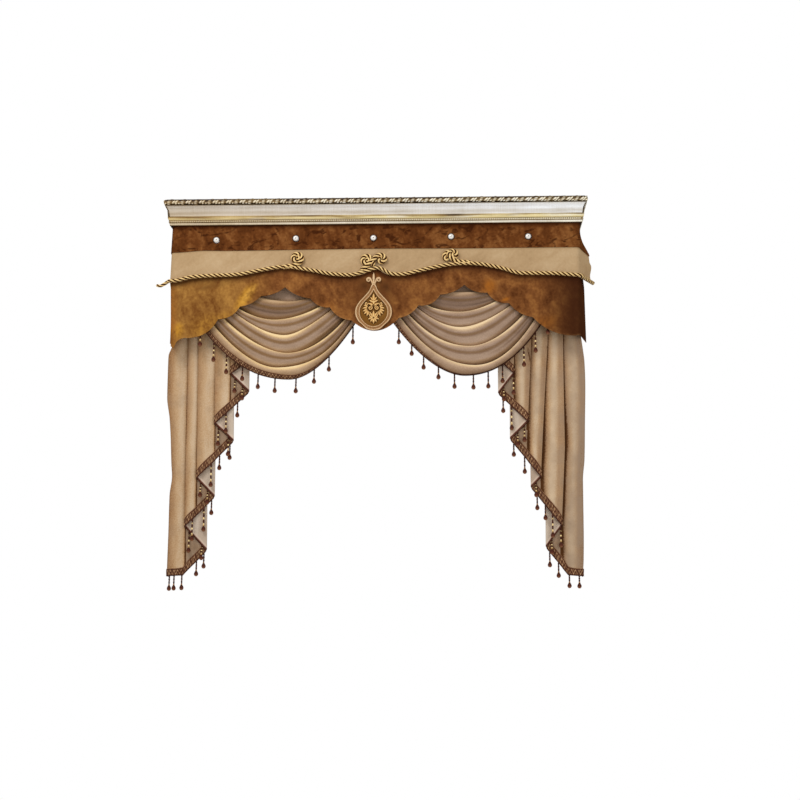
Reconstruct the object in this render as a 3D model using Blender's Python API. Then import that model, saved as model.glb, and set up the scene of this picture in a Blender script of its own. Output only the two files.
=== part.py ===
"""Window valance with cornice: moulding, bands, rope, medallion, swags, jabots and fringes.

Sizes are metres. x runs to the right, y runs back to the wall, z runs up. The wall face is y = 0,
and the origin is the middle of the batten's back. "Depth" is a distance forward from the wall, so
a point at depth d has y = -d. Tables are in millimetres, a row for each fold, lobe or station.
"""

import math

import bmesh
import bpy
import numpy as np

MM = 0.001
GAP = 0.3 * MM                  # between pieces that touch
CLOTH = 2.0 * MM                # thickness of every cloth
LAYER = 2.8 * MM                # from one cloth of the heading to the next

# Boards that carry everything
BATTEN_HALF_WIDTH = 0.820
BATTEN_SIZE = (0.030, 0.050)    # depth, height
BOARD_THICKNESS = 0.018
RAIL_DEPTHS = (0.151, 0.163)    # back and front of the heading rail
RAIL_BOTTOM = -0.050
RAIL_HALF_WIDTH = 0.830

# Cornice
CORNICE_HALF_WIDTH = 0.900
CORNICE_TOP = 0.058
CORNICE_HEIGHT = 0.112
MOULDING_OUT = 0.029            # from the moulding's back to its widest bead
MOULDING_BACK_DEPTH = 0.208
MOULDING_BACK_HALF = CORNICE_HALF_WIDTH - MOULDING_OUT

# Hung bands
HEADING_TOP = BATTEN_SIZE[1] / 2 - GAP
HEADING_DEPTH = 0.199           # lambrequin at its heading
BAND_HALF_WIDTH = 0.862
CORNER_RADIUS = 0.016
RETURN_END_DEPTH = 0.006
SPLAYED_END_DEPTH = 0.040
FULL_LEAN_HALF_WIDTH = 0.600    # past this the bands lean less towards their corners
END_LEAN = 0.5                  # share of the lean that is lost there
FULL_SPLAY = 0.40               # sideways run of the right return for each metre back
# How the bands hang: a row for each level down from the batten's middle
HANG = [
    # drop, lean of the front, splay of the right return of the bands and of the lambrequin,
    # splay of every left return, flare of the left side
    (60, 0.0, 0.00, 0.00, 0.00, 0.0),
    (155, 7.0, 0.32, 0.10, 0.08, 4.0),
    (300, 31.0, FULL_SPLAY, 0.18, 0.15, 7.0),
    (600, 44.0, 0.36, 0.21, 0.21, 0.0),
]

# Rope and its knots
ROPE_RADIUS = 0.0078
ROPE_LIFT = 0.004               # its middle above the tan band's hem
KNOT_RADIUS = 0.026
KNOT_THICKNESS = 0.013
ROPE_LOOSE_TIP = [
    # x, depth, height: from the rope's left end outwards
    (-892, 205, -303), (-908, 203, -312), (-932, 200, -309),
]

# Pearl studs
STUD_RADIUS = 0.013
STUD_HEIGHT = 0.010

# Swags
SWAG_TROUGH_DEPTH = 0.201
SWAG_END_DEPTH = 0.198
SWAG_ROLL = 0.024
SWAG_END_ROLL = 0.004
SWAG_LOW_ROUNDING = 0.13        # share of each side that the lowest point is rounded over

# Jabots
JABOT_RETURN_DEPTH = 0.045
JABOT_HALF_WIDTH = 0.8585
JABOT_HEADING_DEPTH = 0.1643    # outermost layer under the board
JABOT_HEADING_PITCH = 3.55 * MM
JABOT_HANG_DEPTH = 0.136        # outermost layer once it hangs free
JABOT_FACE_PITCH = 8.6 * MM     # between layers that lie face to face
JABOT_BACK_PITCH = 5.5 * MM     # between layers that lie back to back
JABOT_LAYERS = 9
JABOT_CORNER_RADIUS = 0.012
JABOT_FREE_FROM = 0.055         # drop at which it leaves the heading rail
JABOT_LOOSE_FROM = 0.300        # drop at which its folds have opened
JABOT_FLARE_FROM = 0.530        # drop below which its outer edge stands clear of the returns
JABOT_INNER_HEM = 0.585         # drop that every fold reaches
JABOT_LEVELS = (0.08, 0.30, 0.55, 1.0)      # rows from there to the hem
FOLD_SETBACK = 3.0              # mm from a fold's tip back to where its layers are flat

# Fringes
BRAID_WIDTH = 0.025
BRAID_THICKNESS = 2.0 * MM
BRAID_OVERHANG = 5.0 * MM       # below the hem that it is sewn to
DROP_HALF_WIDTH = 3.0 * MM      # where a drop leaves the braid
DROP_LENGTH = 0.062
DROP_FORWARD = 0.012
DROP_RINGS = [
    # drop, half width, share of the swing: neck, then the widest part of the bulb
    (0.038, 0.0022, 0.7), (0.050, 0.0070, 1.0),
]

# Hems of the bands: station and height. Station 1 is the front corner's start, 2 its end,
# and 3 the wall end of the return; minus is the left side.
TOP_BAND_HEM = [
    # station, height
    (-3.00, -175), (-1.00, -175), (-0.95, -160), (-0.74, -164), (-0.37, -162), (0.02, -160),
    (0.50, -162), (1.00, -160), (3.00, -162),
]
TAN_BAND_HEM = [
    # station, height
    (-3.00, -300), (-1.00, -300), (-0.92, -286), (-0.83, -281), (-0.71, -279), (-0.54, -254),
    (-0.45, -245), (-0.33, -259), (-0.19, -281), (-0.12, -283), (-0.06, -274), (0.00, -248),
    (0.06, -275), (0.12, -283), (0.26, -259), (0.40, -238), (0.47, -236), (0.61, -253),
    (0.73, -281), (0.91, -282), (1.00, -288), (3.00, -290),
]

# Lambrequin hem: a row for each lobe, from the cusp before it to its own end cusp.
# "bulge" is how far the lobe swings below its chord.
LAMBREQUIN_START = (-846, -584)
LAMBREQUIN_LOBES = [
    # end_x, end_z, bulge
    (-800, -541, -13), (-660, -464, 26), (-568, -410, 16), (-479, -366, 9), (-378, -329, 9),
    (-271, -377, 10), (-188, -417, 13), (-97, -473, 14), (103, -464, 50), (184, -411, 11),
    (276, -365, 17), (377, -324, 10), (473, -358, 12), (564, -404, 15), (663, -464, 13),
    (846, -541, 24),
]
LAMBREQUIN_RETURNS = [
    # station, height: the left return's hem rises towards the wall
    (-3.00, -528), (-2.30, -528), (-2.00, -572), (-1.00, -584), (1.00, -538), (3.00, -538),
]

MEDALLION_X = -0.004            # it hangs a little left of the middle
MEDALLION_CENTRE = -0.440       # height of the pad's middle
FINIAL_CENTRE = -0.298
# Medallion outline, from its neck down: height and half width
MEDALLION_OUTER = [
    (-322, 9), (-345, 18), (-369, 37), (-396, 61), (-420, 75), (-444, 78), (-462, 74),
    (-480, 64), (-492, 51), (-501, 42), (-509, 34), (-516, 22),
]
MEDALLION_INNER = [
    (-355, 4), (-375, 18), (-396, 38), (-420, 54), (-444, 57), (-462, 53), (-478, 43),
    (-489, 32), (-497, 19),
]
MEDALLION_TOP_AND_BOTTOM = ((-311, -520), (-346, -501))
# Finial outline, right half from the top: height and half width
FINIAL_OUTER = [
    (-283, 7), (-290, 23), (-296, 33), (-304, 35), (-312, 31), (-316, 22), (-310, 11),
]
FINIAL_TOP_AND_BOTTOM = (-268.8, -310.8)
PAD_THICKNESS = 3.0 * MM
PAD_SHARE = 0.988               # of the edging's opening
EDGING_THICKNESS = 7.0 * MM

# Swags: a row for each fold line from the top one to the hem. A line falls from its left end to
# its lowest point and rises to its right end; "power" is how late each side climbs.
SWAGS = {
    "left": {
        "heading_x": (-780, -45),
        "ends_x": ((-770, -45), (-800, -28)),
        "lines": [
            # low_x, low_z, left_z, left_power, right_z, right_power
            (-362, -396, -190, 1.98, -235, 1.53),
            (-415, -473, -215, 1.93, -255, 1.82),
            (-380, -540, -245, 1.65, -285, 1.44),
            (-370, -615, -285, 1.73, -340, 1.93),
            (-410, -674, -335, 1.75, -352, 2.50),
            (-360, -714, -394, 2.25, -382, 1.75),
        ],
        "braid": (1.00, 0.75, 0.10),
        "drops_x": [-737, -679, -624, -556, -490, -419, -331, -255, -193, -93],
    },
    "right": {
        "heading_x": (40, 750),
        "ends_x": ((40, 740), (22, 770)),
        "lines": [
            (380, -362, -185, 2.50, -185, 2.50),
            (360, -445, -215, 2.30, -210, 1.66),
            (362, -511, -250, 1.83, -235, 1.70),
            (400, -592, -290, 2.06, -265, 1.84),
            (418, -668, -330, 2.10, -300, 2.05),
            (380, -702, -391, 1.80, -360, 2.22),
        ],
        "braid": (0.85, 0.25, 0.30),
        "drops_x": [101, 155, 205, 267, 334, 413, 475, 535, 625, 674, 726],
    },
}

# Jabots: how far the outer edge wanders outwards as it falls, how far folds lean outwards above
# their hems, folds from the outer edge inwards, each with its distance from the middle and the
# height of the hem there, and the drops with the layer that carries them.
JABOTS = {
    "left": {
        "side": -1,
        "hem_corner": (797, -1530),
        "hem_outer": -1533,
        "edge_wave": [
            # drop, outwards
            (300, 0), (530, 3), (565, 14), (605, 28), (780, 30), (870, 18), (950, 12),
            (1060, 7), (1120, 3), (1200, 12), (1360, 14), (1533, 17),
        ],
        "leans": {},
        "folds": [
            # distance, hem
            (708, -1427), (799, -1330), (675, -1206), (752, -1127), (598, -972), (676, -899),
            (531, -766), (611, -689),
        ],
        "inner": (478, -594),
        "drops": [
            # layer, distances
            (1, (862, 842, 811, 750, 719)), (2, (782, 728)), (3, (768, 720, 688)),
            (4, (735, 705)), (5, (690, 655, 612)), (6, (661, 618)), (7, (628, 580)),
            (8, (592, 560)),
        ],
    },
    "right": {
        "side": 1,
        "hem_corner": (799, -1531),
        "hem_outer": -1535,
        "edge_wave": [
            (300, 0), (500, 8), (585, 18), (640, 24), (720, 26), (900, 22), (1050, 18),
            (1140, 10), (1360, 10), (1470, 8), (1533, 5),
        ],
        "leans": {
            # fold: its lean at two drops
            2: [(1000, 18), (1330, 0)], 4: [(550, 34), (1127, 0)], 6: [(550, 17), (896, 0)],
        },
        "folds": [
            (711, -1417), (775, -1330), (650, -1171), (692, -1127), (566, -969), (639, -896),
            (516, -778), (583, -693),
        ],
        "inner": (483, -600),
        "drops": [
            (1, (846, 806, 762, 726)), (2, (778, 735)), (3, (739, 710, 676)), (4, (672,)),
            (5, (625, 580)), (6, (625, 597)), (7, (572, 537)), (8, (582, 540)),
        ],
    },
}


def clear_scene():
    """Remove everything that the start-up file holds."""
    for item in list(bpy.data.objects):
        bpy.data.objects.remove(item, do_unlink=True)


def make_material(name, colour, roughness, metallic=0.0):
    """A Principled material."""
    material = bpy.data.materials.new(name)
    material.use_nodes = True
    shader = material.node_tree.nodes["Principled BSDF"]
    shader.inputs["Base Color"].default_value = (*colour, 1.0)
    shader.inputs["Roughness"].default_value = roughness
    shader.inputs["Metallic"].default_value = metallic
    return material


def add_mesh(name, points, faces, material, smooth_angle=40.0):
    """One closed mesh object with outward faces."""
    mesh = bpy.data.meshes.new(name)
    mesh.from_pydata([tuple(map(float, p)) for p in points], [], faces)
    shape = bmesh.new()
    shape.from_mesh(mesh)
    bmesh.ops.recalc_face_normals(shape, faces=shape.faces)
    shape.to_mesh(mesh)
    shape.free()
    mesh.shade_smooth()
    mesh.set_sharp_from_angle(angle=math.radians(smooth_angle))
    mesh.materials.append(material)
    item = bpy.data.objects.new(name, mesh)
    bpy.context.scene.collection.objects.link(item)
    return item


def add_box(name, half_width, depths, heights, material):
    """A plank across the middle, from one depth and height to another."""
    corners = [(x, -d, z) for z in heights for d in depths for x in (-half_width, half_width)]
    faces = [(0, 1, 3, 2), (4, 6, 7, 5), (0, 4, 5, 1), (2, 3, 7, 6), (0, 2, 6, 4), (1, 5, 7, 3)]
    return add_mesh(name, corners, faces, material)


def ease(t):
    """A smooth step from 0 to 1."""
    t = np.clip(t, 0.0, 1.0)
    return t * t * (3.0 - 2.0 * t)


def bridge(first, second):
    """Quads between two closed rings of point numbers."""
    count = len(first)
    return [
        (first[i], first[(i + 1) % count], second[(i + 1) % count], second[i])
        for i in range(count)
    ]


def surface_normals(middle):
    """Unit normals of a grid of points."""
    normal = np.cross(np.gradient(middle, axis=1), np.gradient(middle, axis=0))
    return normal / np.linalg.norm(normal, axis=2, keepdims=True)


def plan_normals(line):
    """Mitred normals of a folded line in plan, so that an offset stays parallel to it."""
    steps = np.diff(line[:, :2], axis=0)
    steps /= np.linalg.norm(steps, axis=1, keepdims=True)
    sides = np.stack([steps[:, 1], -steps[:, 0], 0 * steps[:, 0]], axis=1)
    before = np.vstack([sides[:1], sides])
    after = np.vstack([sides, sides[-1:]])
    return (before + after) / (1 + np.sum(before * after, axis=1, keepdims=True))


def add_sheet(name, middle, material, normal=None):
    """A closed sheet: the middle surface moved half a thickness to each side along its normal."""
    rows, columns = middle.shape[:2]
    if normal is None:
        normal = surface_normals(middle)
    front = middle + normal * CLOTH / 2
    back = middle - normal * CLOTH / 2
    points = np.concatenate([front.reshape(-1, 3), back.reshape(-1, 3)])

    index = np.arange(rows * columns).reshape(rows, columns)
    other = index + rows * columns
    faces = []
    for r in range(rows - 1):
        for c in range(columns - 1):
            faces.append((index[r, c], index[r, c + 1], index[r + 1, c + 1], index[r + 1, c]))
            faces.append((other[r, c], other[r + 1, c], other[r + 1, c + 1], other[r, c + 1]))
    edge = list(index[0]) + list(index[1:, -1]) + list(index[-1, -2::-1])
    edge += list(index[-2:0:-1, 0])
    far_edge = [i + rows * columns for i in edge]
    faces += bridge(edge, far_edge)
    return add_mesh(name, points, [tuple(map(int, f)) for f in faces], material)


def hang(z, column):
    """One column of the HANG table at a height, straight between its rows."""
    rows = np.array(HANG)
    return np.interp(-z / MM, rows[:, 0], rows[:, column])


def hang_depth(x, z):
    """Depth of the lambrequin: it leans forward over the swags and less at the two ends."""
    run = BAND_HALF_WIDTH - CORNER_RADIUS - FULL_LEAN_HALF_WIDTH
    ends = 1.0 - END_LEAN * np.clip((np.abs(x) - FULL_LEAN_HALF_WIDTH) / run, 0, 1)
    return HEADING_DEPTH + hang(z, 1) * MM * ends


def wrap(station, z, out):
    """Points of a band that runs along the front and back to the wall at both sides.

    Station -1 to 1 is the front, 1 to 2 the rounded corner and 2 to 3 the return, and minus is
    the left side. "out" moves the band out from the lambrequin's surface, and is 0 for the
    lambrequin itself. The returns splay outwards below the cornice.
    """
    side = np.sign(station)
    reach = np.abs(station)
    straight = BAND_HALF_WIDTH - CORNER_RADIUS
    front_x = np.minimum(reach, 1.0) * straight
    depth = hang_depth(front_x, z)
    turn = np.clip(reach - 1.0, 0.0, 1.0) * math.pi / 2
    swing = CORNER_RADIUS + out
    x = front_x + np.where(reach > 1.0, swing * np.sin(turn), 0.0)
    d = np.where(reach > 1.0, depth - CORNER_RADIUS + swing * np.cos(turn), depth + out)
    right_splay = hang(z, 2 if out > 0 else 3)
    splay = np.where(side > 0, right_splay, hang(z, 4))
    flare = np.where(side < 0, hang(z, 5) * MM, 0.0)
    drawn_in = np.where(side > 0, right_splay / FULL_SPLAY, 0.0)
    end = RETURN_END_DEPTH + (SPLAYED_END_DEPTH - RETURN_END_DEPTH) * drawn_in
    run = np.clip(reach - 2.0, 0.0, 1.0) * (depth - CORNER_RADIUS - end)
    x = x + run * splay + flare * np.clip((reach - 0.9) / 0.1, 0, 1)
    return np.stack([side * x, -(d - run), z + 0.0 * x], axis=-1)


def band_hem(table, station):
    """Height of a band's hem at a station: a smooth curve through the table's rows."""
    rows = np.array(table, float)
    where = np.clip(station, rows[0, 0], rows[-1, 0])
    steps = np.diff(rows[:, 1]) / np.diff(rows[:, 0])
    product = steps[1:] * steps[:-1]
    inner = np.where(product > 0, 2 * product / (steps[1:] + steps[:-1] + 1e-12), 0.0)
    slopes = np.concatenate([[0.0], inner, [0.0]])
    k = np.clip(np.searchsorted(rows[:, 0], where, side="right") - 1, 0, len(rows) - 2)
    width = rows[k + 1, 0] - rows[k, 0]
    t = (where - rows[k, 0]) / width
    height = (
        (2 * t**3 - 3 * t**2 + 1) * rows[k, 1]
        + (t**3 - 2 * t**2 + t) * width * slopes[k]
        + (3 * t**2 - 2 * t**3) * rows[k + 1, 1]
        + (t**3 - t**2) * width * slopes[k + 1]
    )
    return height * MM


def end_stations(side):
    """Stations of one corner and return, from the corner outwards."""
    return [side * s for s in (1.35, 1.7, 2.0, 2.3, 3.0)]


def add_band(name, front_stations, hem, out, levels, material):
    """A wrapped band with its own hem, bent where the HANG table bends."""
    bend = FULL_LEAN_HALF_WIDTH / (BAND_HALF_WIDTH - CORNER_RADIUS)
    front = sorted([s for s in front_stations if abs(abs(s) - bend) > 0.01] + [-bend, bend])
    stations = np.array(end_stations(-1)[::-1] + front + end_stations(1))
    tops = [HEADING_TOP] + [-HANG[level][0] * MM for level in range(levels)]
    heights = np.vstack([np.full(len(stations), z) for z in tops] + [hem(stations)])
    middle = wrap(np.broadcast_to(stations, heights.shape), heights, out)
    return add_sheet(name, middle, material)


def lambrequin_hem():
    """Hem points of the lambrequin's front: each lobe is an arc that bulges below its chord."""
    points = [LAMBREQUIN_START]
    steps = 4
    for end_x, end_z, bulge in LAMBREQUIN_LOBES:
        start = np.array(points[-1], float)
        end = np.array((end_x, end_z), float)
        chord = end - start
        down = np.array((chord[1], -chord[0])) / np.hypot(*chord)
        for step in range(1, steps + 1):
            t = step / steps
            points.append(tuple(start + chord * t + down * bulge * 4 * t * (1 - t)))
    return np.array(points) * MM


def add_lambrequin(material):
    """The scalloped velvet panel."""
    hem = lambrequin_hem()
    straight = BAND_HALF_WIDTH - CORNER_RADIUS
    stations = hem[:, 0] / straight

    def height(all_stations):
        inside = np.interp(all_stations, stations, hem[:, 1])
        ends, drops = np.array(LAMBREQUIN_RETURNS).T
        return np.where(np.abs(all_stations) > 1.0, np.interp(all_stations, ends, drops * MM), inside)

    return add_band("lambrequin", stations, height, 0.0, 3, material)


def add_bands(velvet, suede):
    """The brown top band and the tan band."""
    top_stations = np.linspace(-1, 1, 11)
    tan_stations = np.linspace(-1, 1, 41)
    add_band("top_band", top_stations, lambda s: band_hem(TOP_BAND_HEM, s), 2 * LAYER, 2, velvet)
    add_band("tan_band", tan_stations, lambda s: band_hem(TAN_BAND_HEM, s), LAYER, 2, suede)


def add_rope(material):
    """The rope sewn along the tan band's hem, with a loose tip at each side."""
    stations = np.linspace(-1.8, 2.9, 60)
    out = LAYER + CLOTH / 2 + 4 * GAP + ROPE_RADIUS
    run = wrap(stations, band_hem(TAN_BAND_HEM, stations) + ROPE_LIFT, out)
    tip = np.array(ROPE_LOOSE_TIP[::-1], float) * (MM, -MM, MM)
    points = np.concatenate([tip, run])
    curve = bpy.data.curves.new("rope", "CURVE")
    curve.dimensions = "3D"
    curve.bevel_depth = ROPE_RADIUS
    curve.bevel_resolution = 2
    curve.use_fill_caps = True
    spline = curve.splines.new("POLY")
    spline.points.add(len(points) - 1)
    for point, place in zip(spline.points, points):
        point.co = (*place, 1.0)
    curve.materials.append(material)
    item = bpy.data.objects.new("rope", curve)
    bpy.context.scene.collection.objects.link(item)


def add_turned(name, profile, sides, place, tilt, material):
    """A round boss turned from (radius, height) rows, flat back first, facing forward."""
    points = []
    faces = []
    rings = []
    for radius, height in profile:
        if radius == 0:
            rings.append([len(points)] * sides)
            points.append((0.0, -height, 0.0))
            continue
        rings.append(list(range(len(points), len(points) + sides)))
        angles = [2 * math.pi * i / sides for i in range(sides)]
        points += [(radius * math.cos(a), -height, radius * math.sin(a)) for a in angles]
    for first, second in zip(rings, rings[1:]):
        for quad in bridge(first, second):
            corners = list(dict.fromkeys(quad))
            faces.append(tuple(corners))
    item = add_mesh(name, points, faces, material)
    item.location = place
    item.rotation_euler = (tilt, 0.0, 0.0)


def surface_tilt(x, z):
    """How far a boss turns about x to lie on the leaning cloth."""
    step = 1.0 * MM
    return -math.atan2(float(hang_depth(x, z - step) - hang_depth(x, z + step)), 2 * step)


def add_studs(material):
    """Pearl studs across the top band."""
    r = STUD_RADIUS
    h = STUD_HEIGHT
    profile = [(0, 0), (r, 0), (r, 0.25 * h), (0.8 * r, 0.45 * h), (0.5 * r, 0.85 * h), (0, h)]
    places = [(-676, -118), (-337, -114), (-7, -115), (322, -112), (648, -114)]
    for number, (x, z) in enumerate(places, start=1):
        depth = float(hang_depth(x * MM, z * MM)) + 2 * LAYER + CLOTH / 2 + 2 * GAP
        place = (x * MM, -depth, z * MM)
        tilt = surface_tilt(x * MM, z * MM)
        add_turned(f"stud_{number}", profile, 16, place, tilt, material)


def add_knots(material):
    """Spiral rope knots on the tan band."""
    r = KNOT_RADIUS
    h = KNOT_THICKNESS
    profile = [(0, 0), (0.85 * r, 0), (r, 0.4 * h), (0.85 * r, 0.85 * h), (0.4 * r, h), (0, h)]
    places = [(-331, -205), (-31, -217), (23, -215), (317, -197)]
    for number, (x, z) in enumerate(places, start=1):
        depth = float(hang_depth(x * MM, z * MM)) + LAYER + CLOTH / 2 + 2 * GAP
        place = (x * MM, -depth, z * MM)
        tilt = surface_tilt(x * MM, z * MM)
        add_turned(f"knot_{number}", profile, 16, place, tilt, material)


def symmetric_outline(rows, top, bottom):
    """A closed outline about the medallion's middle from its right half, as (x, z) in metres."""
    right = [(width, height) for height, width in rows]
    left = [(-width, height) for height, width in reversed(rows)]
    outline = np.array([(0, top)] + right + [(0, bottom)] + left, float) * MM
    return outline + (MEDALLION_X, 0)


def add_draped_plate(name, outer, inner, thickness, material):
    """A plate or ring that follows the lambrequin's surface, between two outlines."""
    solid = len(inner) == 1
    steps = 2 if solid else 1
    rings = [outer + (inner - outer) * s / steps for s in range(steps + (0 if solid else 1))]
    flat = np.concatenate(rings + ([inner] if solid else []))
    base = hang_depth(flat[:, 0], flat[:, 1]) + CLOTH / 2 + 3 * GAP
    back = np.stack([flat[:, 0], -base, flat[:, 1]], axis=1)
    front = np.stack([flat[:, 0], -base - thickness, flat[:, 1]], axis=1)
    count = len(outer)
    total = len(flat)
    faces = []
    ring_ids = [list(range(r * count, (r + 1) * count)) for r in range(len(rings))]
    for first, second in zip(ring_ids, ring_ids[1:]):
        for quad in bridge(first, second):
            faces.append(quad)
            faces.append(tuple(i + total for i in quad))
    if solid:
        last = ring_ids[-1]
        for i in range(count):
            triangle = (last[i], last[(i + 1) % count], total - 1)
            faces.append(triangle)
            faces.append(tuple(i + total for i in triangle))
    else:
        faces += bridge(ring_ids[-1], [i + total for i in ring_ids[-1]])
    faces += bridge(ring_ids[0], [i + total for i in ring_ids[0]])
    add_mesh(name, np.concatenate([back, front]), faces, material)


def resample(outline, count):
    """The same closed outline with evenly spaced points."""
    closed = np.vstack([outline, outline[:1]])
    length = np.concatenate([[0], np.cumsum(np.hypot(*np.diff(closed, axis=0).T))])
    even = np.linspace(0, length[-1], count, endpoint=False)
    return np.stack([np.interp(even, length, closed[:, k]) for k in (0, 1)], axis=1)


def add_medallion(velvet, cord):
    """The teardrop applique: pad, corded edging and finial."""
    tops = MEDALLION_TOP_AND_BOTTOM
    outer = resample(symmetric_outline(MEDALLION_OUTER, *tops[0]), 32)
    inner = resample(symmetric_outline(MEDALLION_INNER, *tops[1]), 32)
    centre = np.array([(MEDALLION_X, MEDALLION_CENTRE)])
    pad = centre + (inner - centre) * PAD_SHARE
    add_draped_plate("medallion_edging", outer, inner, EDGING_THICKNESS, cord)
    add_draped_plate("medallion_pad", pad, centre, PAD_THICKNESS, velvet)
    finial = symmetric_outline(FINIAL_OUTER, *FINIAL_TOP_AND_BOTTOM)
    hub = np.array([(MEDALLION_X, FINIAL_CENTRE)])
    add_draped_plate("medallion_finial", finial, hub, EDGING_THICKNESS, cord)


def moulding_profile():
    """Cornice section as (out, drop) from its back top corner, from arcs and short flats."""
    points = [(0.0, 0.0), (20.0, 0.0)]
    for i in range(7):                                      # carved bead at the top
        a = math.radians(90 - 30 * i)
        points.append((17.0 + 12.0 * math.cos(a), 13.0 - 12.0 * math.sin(a)))
    for i in range(6):                                      # cove
        a = math.radians(18 * i)
        points.append((25.0 - 18.5 * math.sin(a), 70.0 - 42.0 * math.cos(a)))
    for i in range(5):                                      # lower bead
        a = math.radians(80 - 40 * i)
        points.append((5.0 + 8.0 * math.cos(a), 79.5 - 8.0 * math.sin(a)))
    for i in range(3):                                      # fine beaded row
        a = math.radians(70 - 70 * i)
        points.append((5.0 + 5.0 * math.cos(a), 93.5 - 5.0 * math.sin(a)))
    points += [(5.5, 99.5), (5.5, 108.0), (4.5, 109.0), (0.0, 109.0)]
    tall = CORNICE_HEIGHT / points[-1][1]
    return [(out * MM, drop * tall) for out, drop in points]


def add_moulding(name, sections, material):
    """A length of moulding between two sections of the same profile."""
    count = len(sections[0])
    rings = [list(range(count)), list(range(count, 2 * count))]
    faces = bridge(*rings) + [tuple(rings[0]), tuple(rings[1])]
    add_mesh(name, sections[0] + sections[1], faces, material, smooth_angle=35.0)


def add_cornice(material):
    """Front length and two returns, mitred with a hair's gap."""
    profile = moulding_profile()

    def front_end(side):
        half = MOULDING_BACK_HALF - GAP
        return [
            (side * (half + out), -(MOULDING_BACK_DEPTH + out), CORNICE_TOP - drop)
            for out, drop in profile
        ]

    def return_section(side, mitred):
        place = MOULDING_BACK_DEPTH - GAP
        return [
            (
                side * (MOULDING_BACK_HALF + out),
                -(place + out) if mitred else 0.0,
                CORNICE_TOP - drop,
            )
            for out, drop in profile
        ]

    add_moulding("cornice_front", (front_end(-1), front_end(1)), material)
    for side, word in ((-1, "left"), (1, "right")):
        sections = (return_section(side, False), return_section(side, True))
        add_moulding(f"cornice_return_{word}", sections, material)


def add_boards(material):
    """Wall batten, top board and heading rail."""
    depth, height = BATTEN_SIZE
    add_box("wall_batten", BATTEN_HALF_WIDTH, (0, depth), (-height / 2, height / 2), material)
    low = height / 2 + GAP
    board_half = MOULDING_BACK_HALF - GAP
    board_depths = (0, MOULDING_BACK_DEPTH - GAP)
    board_heights = (low, low + BOARD_THICKNESS)
    add_box("top_board", board_half, board_depths, board_heights, material)
    add_box("heading_rail", RAIL_HALF_WIDTH, RAIL_DEPTHS, (RAIL_BOTTOM, height / 2), material)


def climb(share, power):
    """A power of a share from 0 to 1, rounded near 0 so that a fold line has no point there."""
    lowest = SWAG_LOW_ROUNDING**power
    rounded = (share**2 + SWAG_LOW_ROUNDING**2) ** (power / 2) - lowest
    return rounded / ((1 + SWAG_LOW_ROUNDING**2) ** (power / 2) - lowest)


def swag_lines(table, across):
    """Fold lines of a swag as arrays of x and z, a row for each line."""
    lines = np.array(table["lines"], float)
    first, last = (np.array(e, float) for e in table["ends_x"])
    xs = []
    zs = []
    for number, (low_x, low_z, left_z, left_power, right_z, right_power) in enumerate(lines):
        left_x, right_x = first + (last - first) * number / (len(lines) - 1)
        x = left_x + (right_x - left_x) * across
        left_part = np.clip((low_x - x) / (low_x - left_x), 0, 1)
        right_part = np.clip((x - low_x) / (right_x - low_x), 0, 1)
        z = low_z + (left_z - low_z) * climb(left_part, left_power)
        z = z + (right_z - low_z) * climb(right_part, right_power)
        xs.append(x * MM)
        zs.append(z * MM)
    return np.array(xs), np.array(zs)


def swag_surface(table):
    """Middle surface of a swag: rolls between fold lines, fullest just under each line."""
    across = 0.5 - 0.5 * np.cos(np.linspace(0.06, 0.94, 17) * math.pi)
    across = (across - across[0]) / (across[-1] - across[0])
    xs, zs = swag_lines(table, across)
    left_x, right_x = (v * MM for v in table["heading_x"])
    heading_x = left_x + (right_x - left_x) * across
    xs = np.vstack([heading_x, heading_x, xs])
    zs = np.vstack([np.full(len(across), z) for z in (HEADING_TOP, -HANG[0][0] * MM)] + [zs])

    middle_share = np.sin(math.pi * across) ** 0.6
    trough = SWAG_END_DEPTH + (SWAG_TROUGH_DEPTH - SWAG_END_DEPTH) * middle_share
    roll = SWAG_END_ROLL + (SWAG_ROLL - SWAG_END_ROLL) * middle_share
    rows = []
    for fold in range(len(xs) - 1):
        if fold < 2:
            shares = (0.0, 0.5)[:fold + 1]
        elif fold == len(xs) - 2:
            shares = (0.0, 0.25, 0.55)
        else:
            shares = (0.0, 0.22, 0.6)
        for share in shares:
            x = xs[fold] + (xs[fold + 1] - xs[fold]) * share
            z = zs[fold] + (zs[fold + 1] - zs[fold]) * share
            bulge = 0.0 if fold < 2 else math.sin(math.pi * share**0.6)
            rows.append((x, trough + roll * bulge, z))
    turned_under = np.interp(across, (0.0, 0.5, 1.0), table["braid"])
    rows.append((xs[-1], trough + roll * 0.55 * turned_under, zs[-1]))
    x, depth, z = (np.array([row[k] for row in rows]) for k in range(3))
    depth = np.minimum(depth, hang_depth(x, z) - LAYER)
    return np.stack([x, -depth, z], axis=-1)


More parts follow.
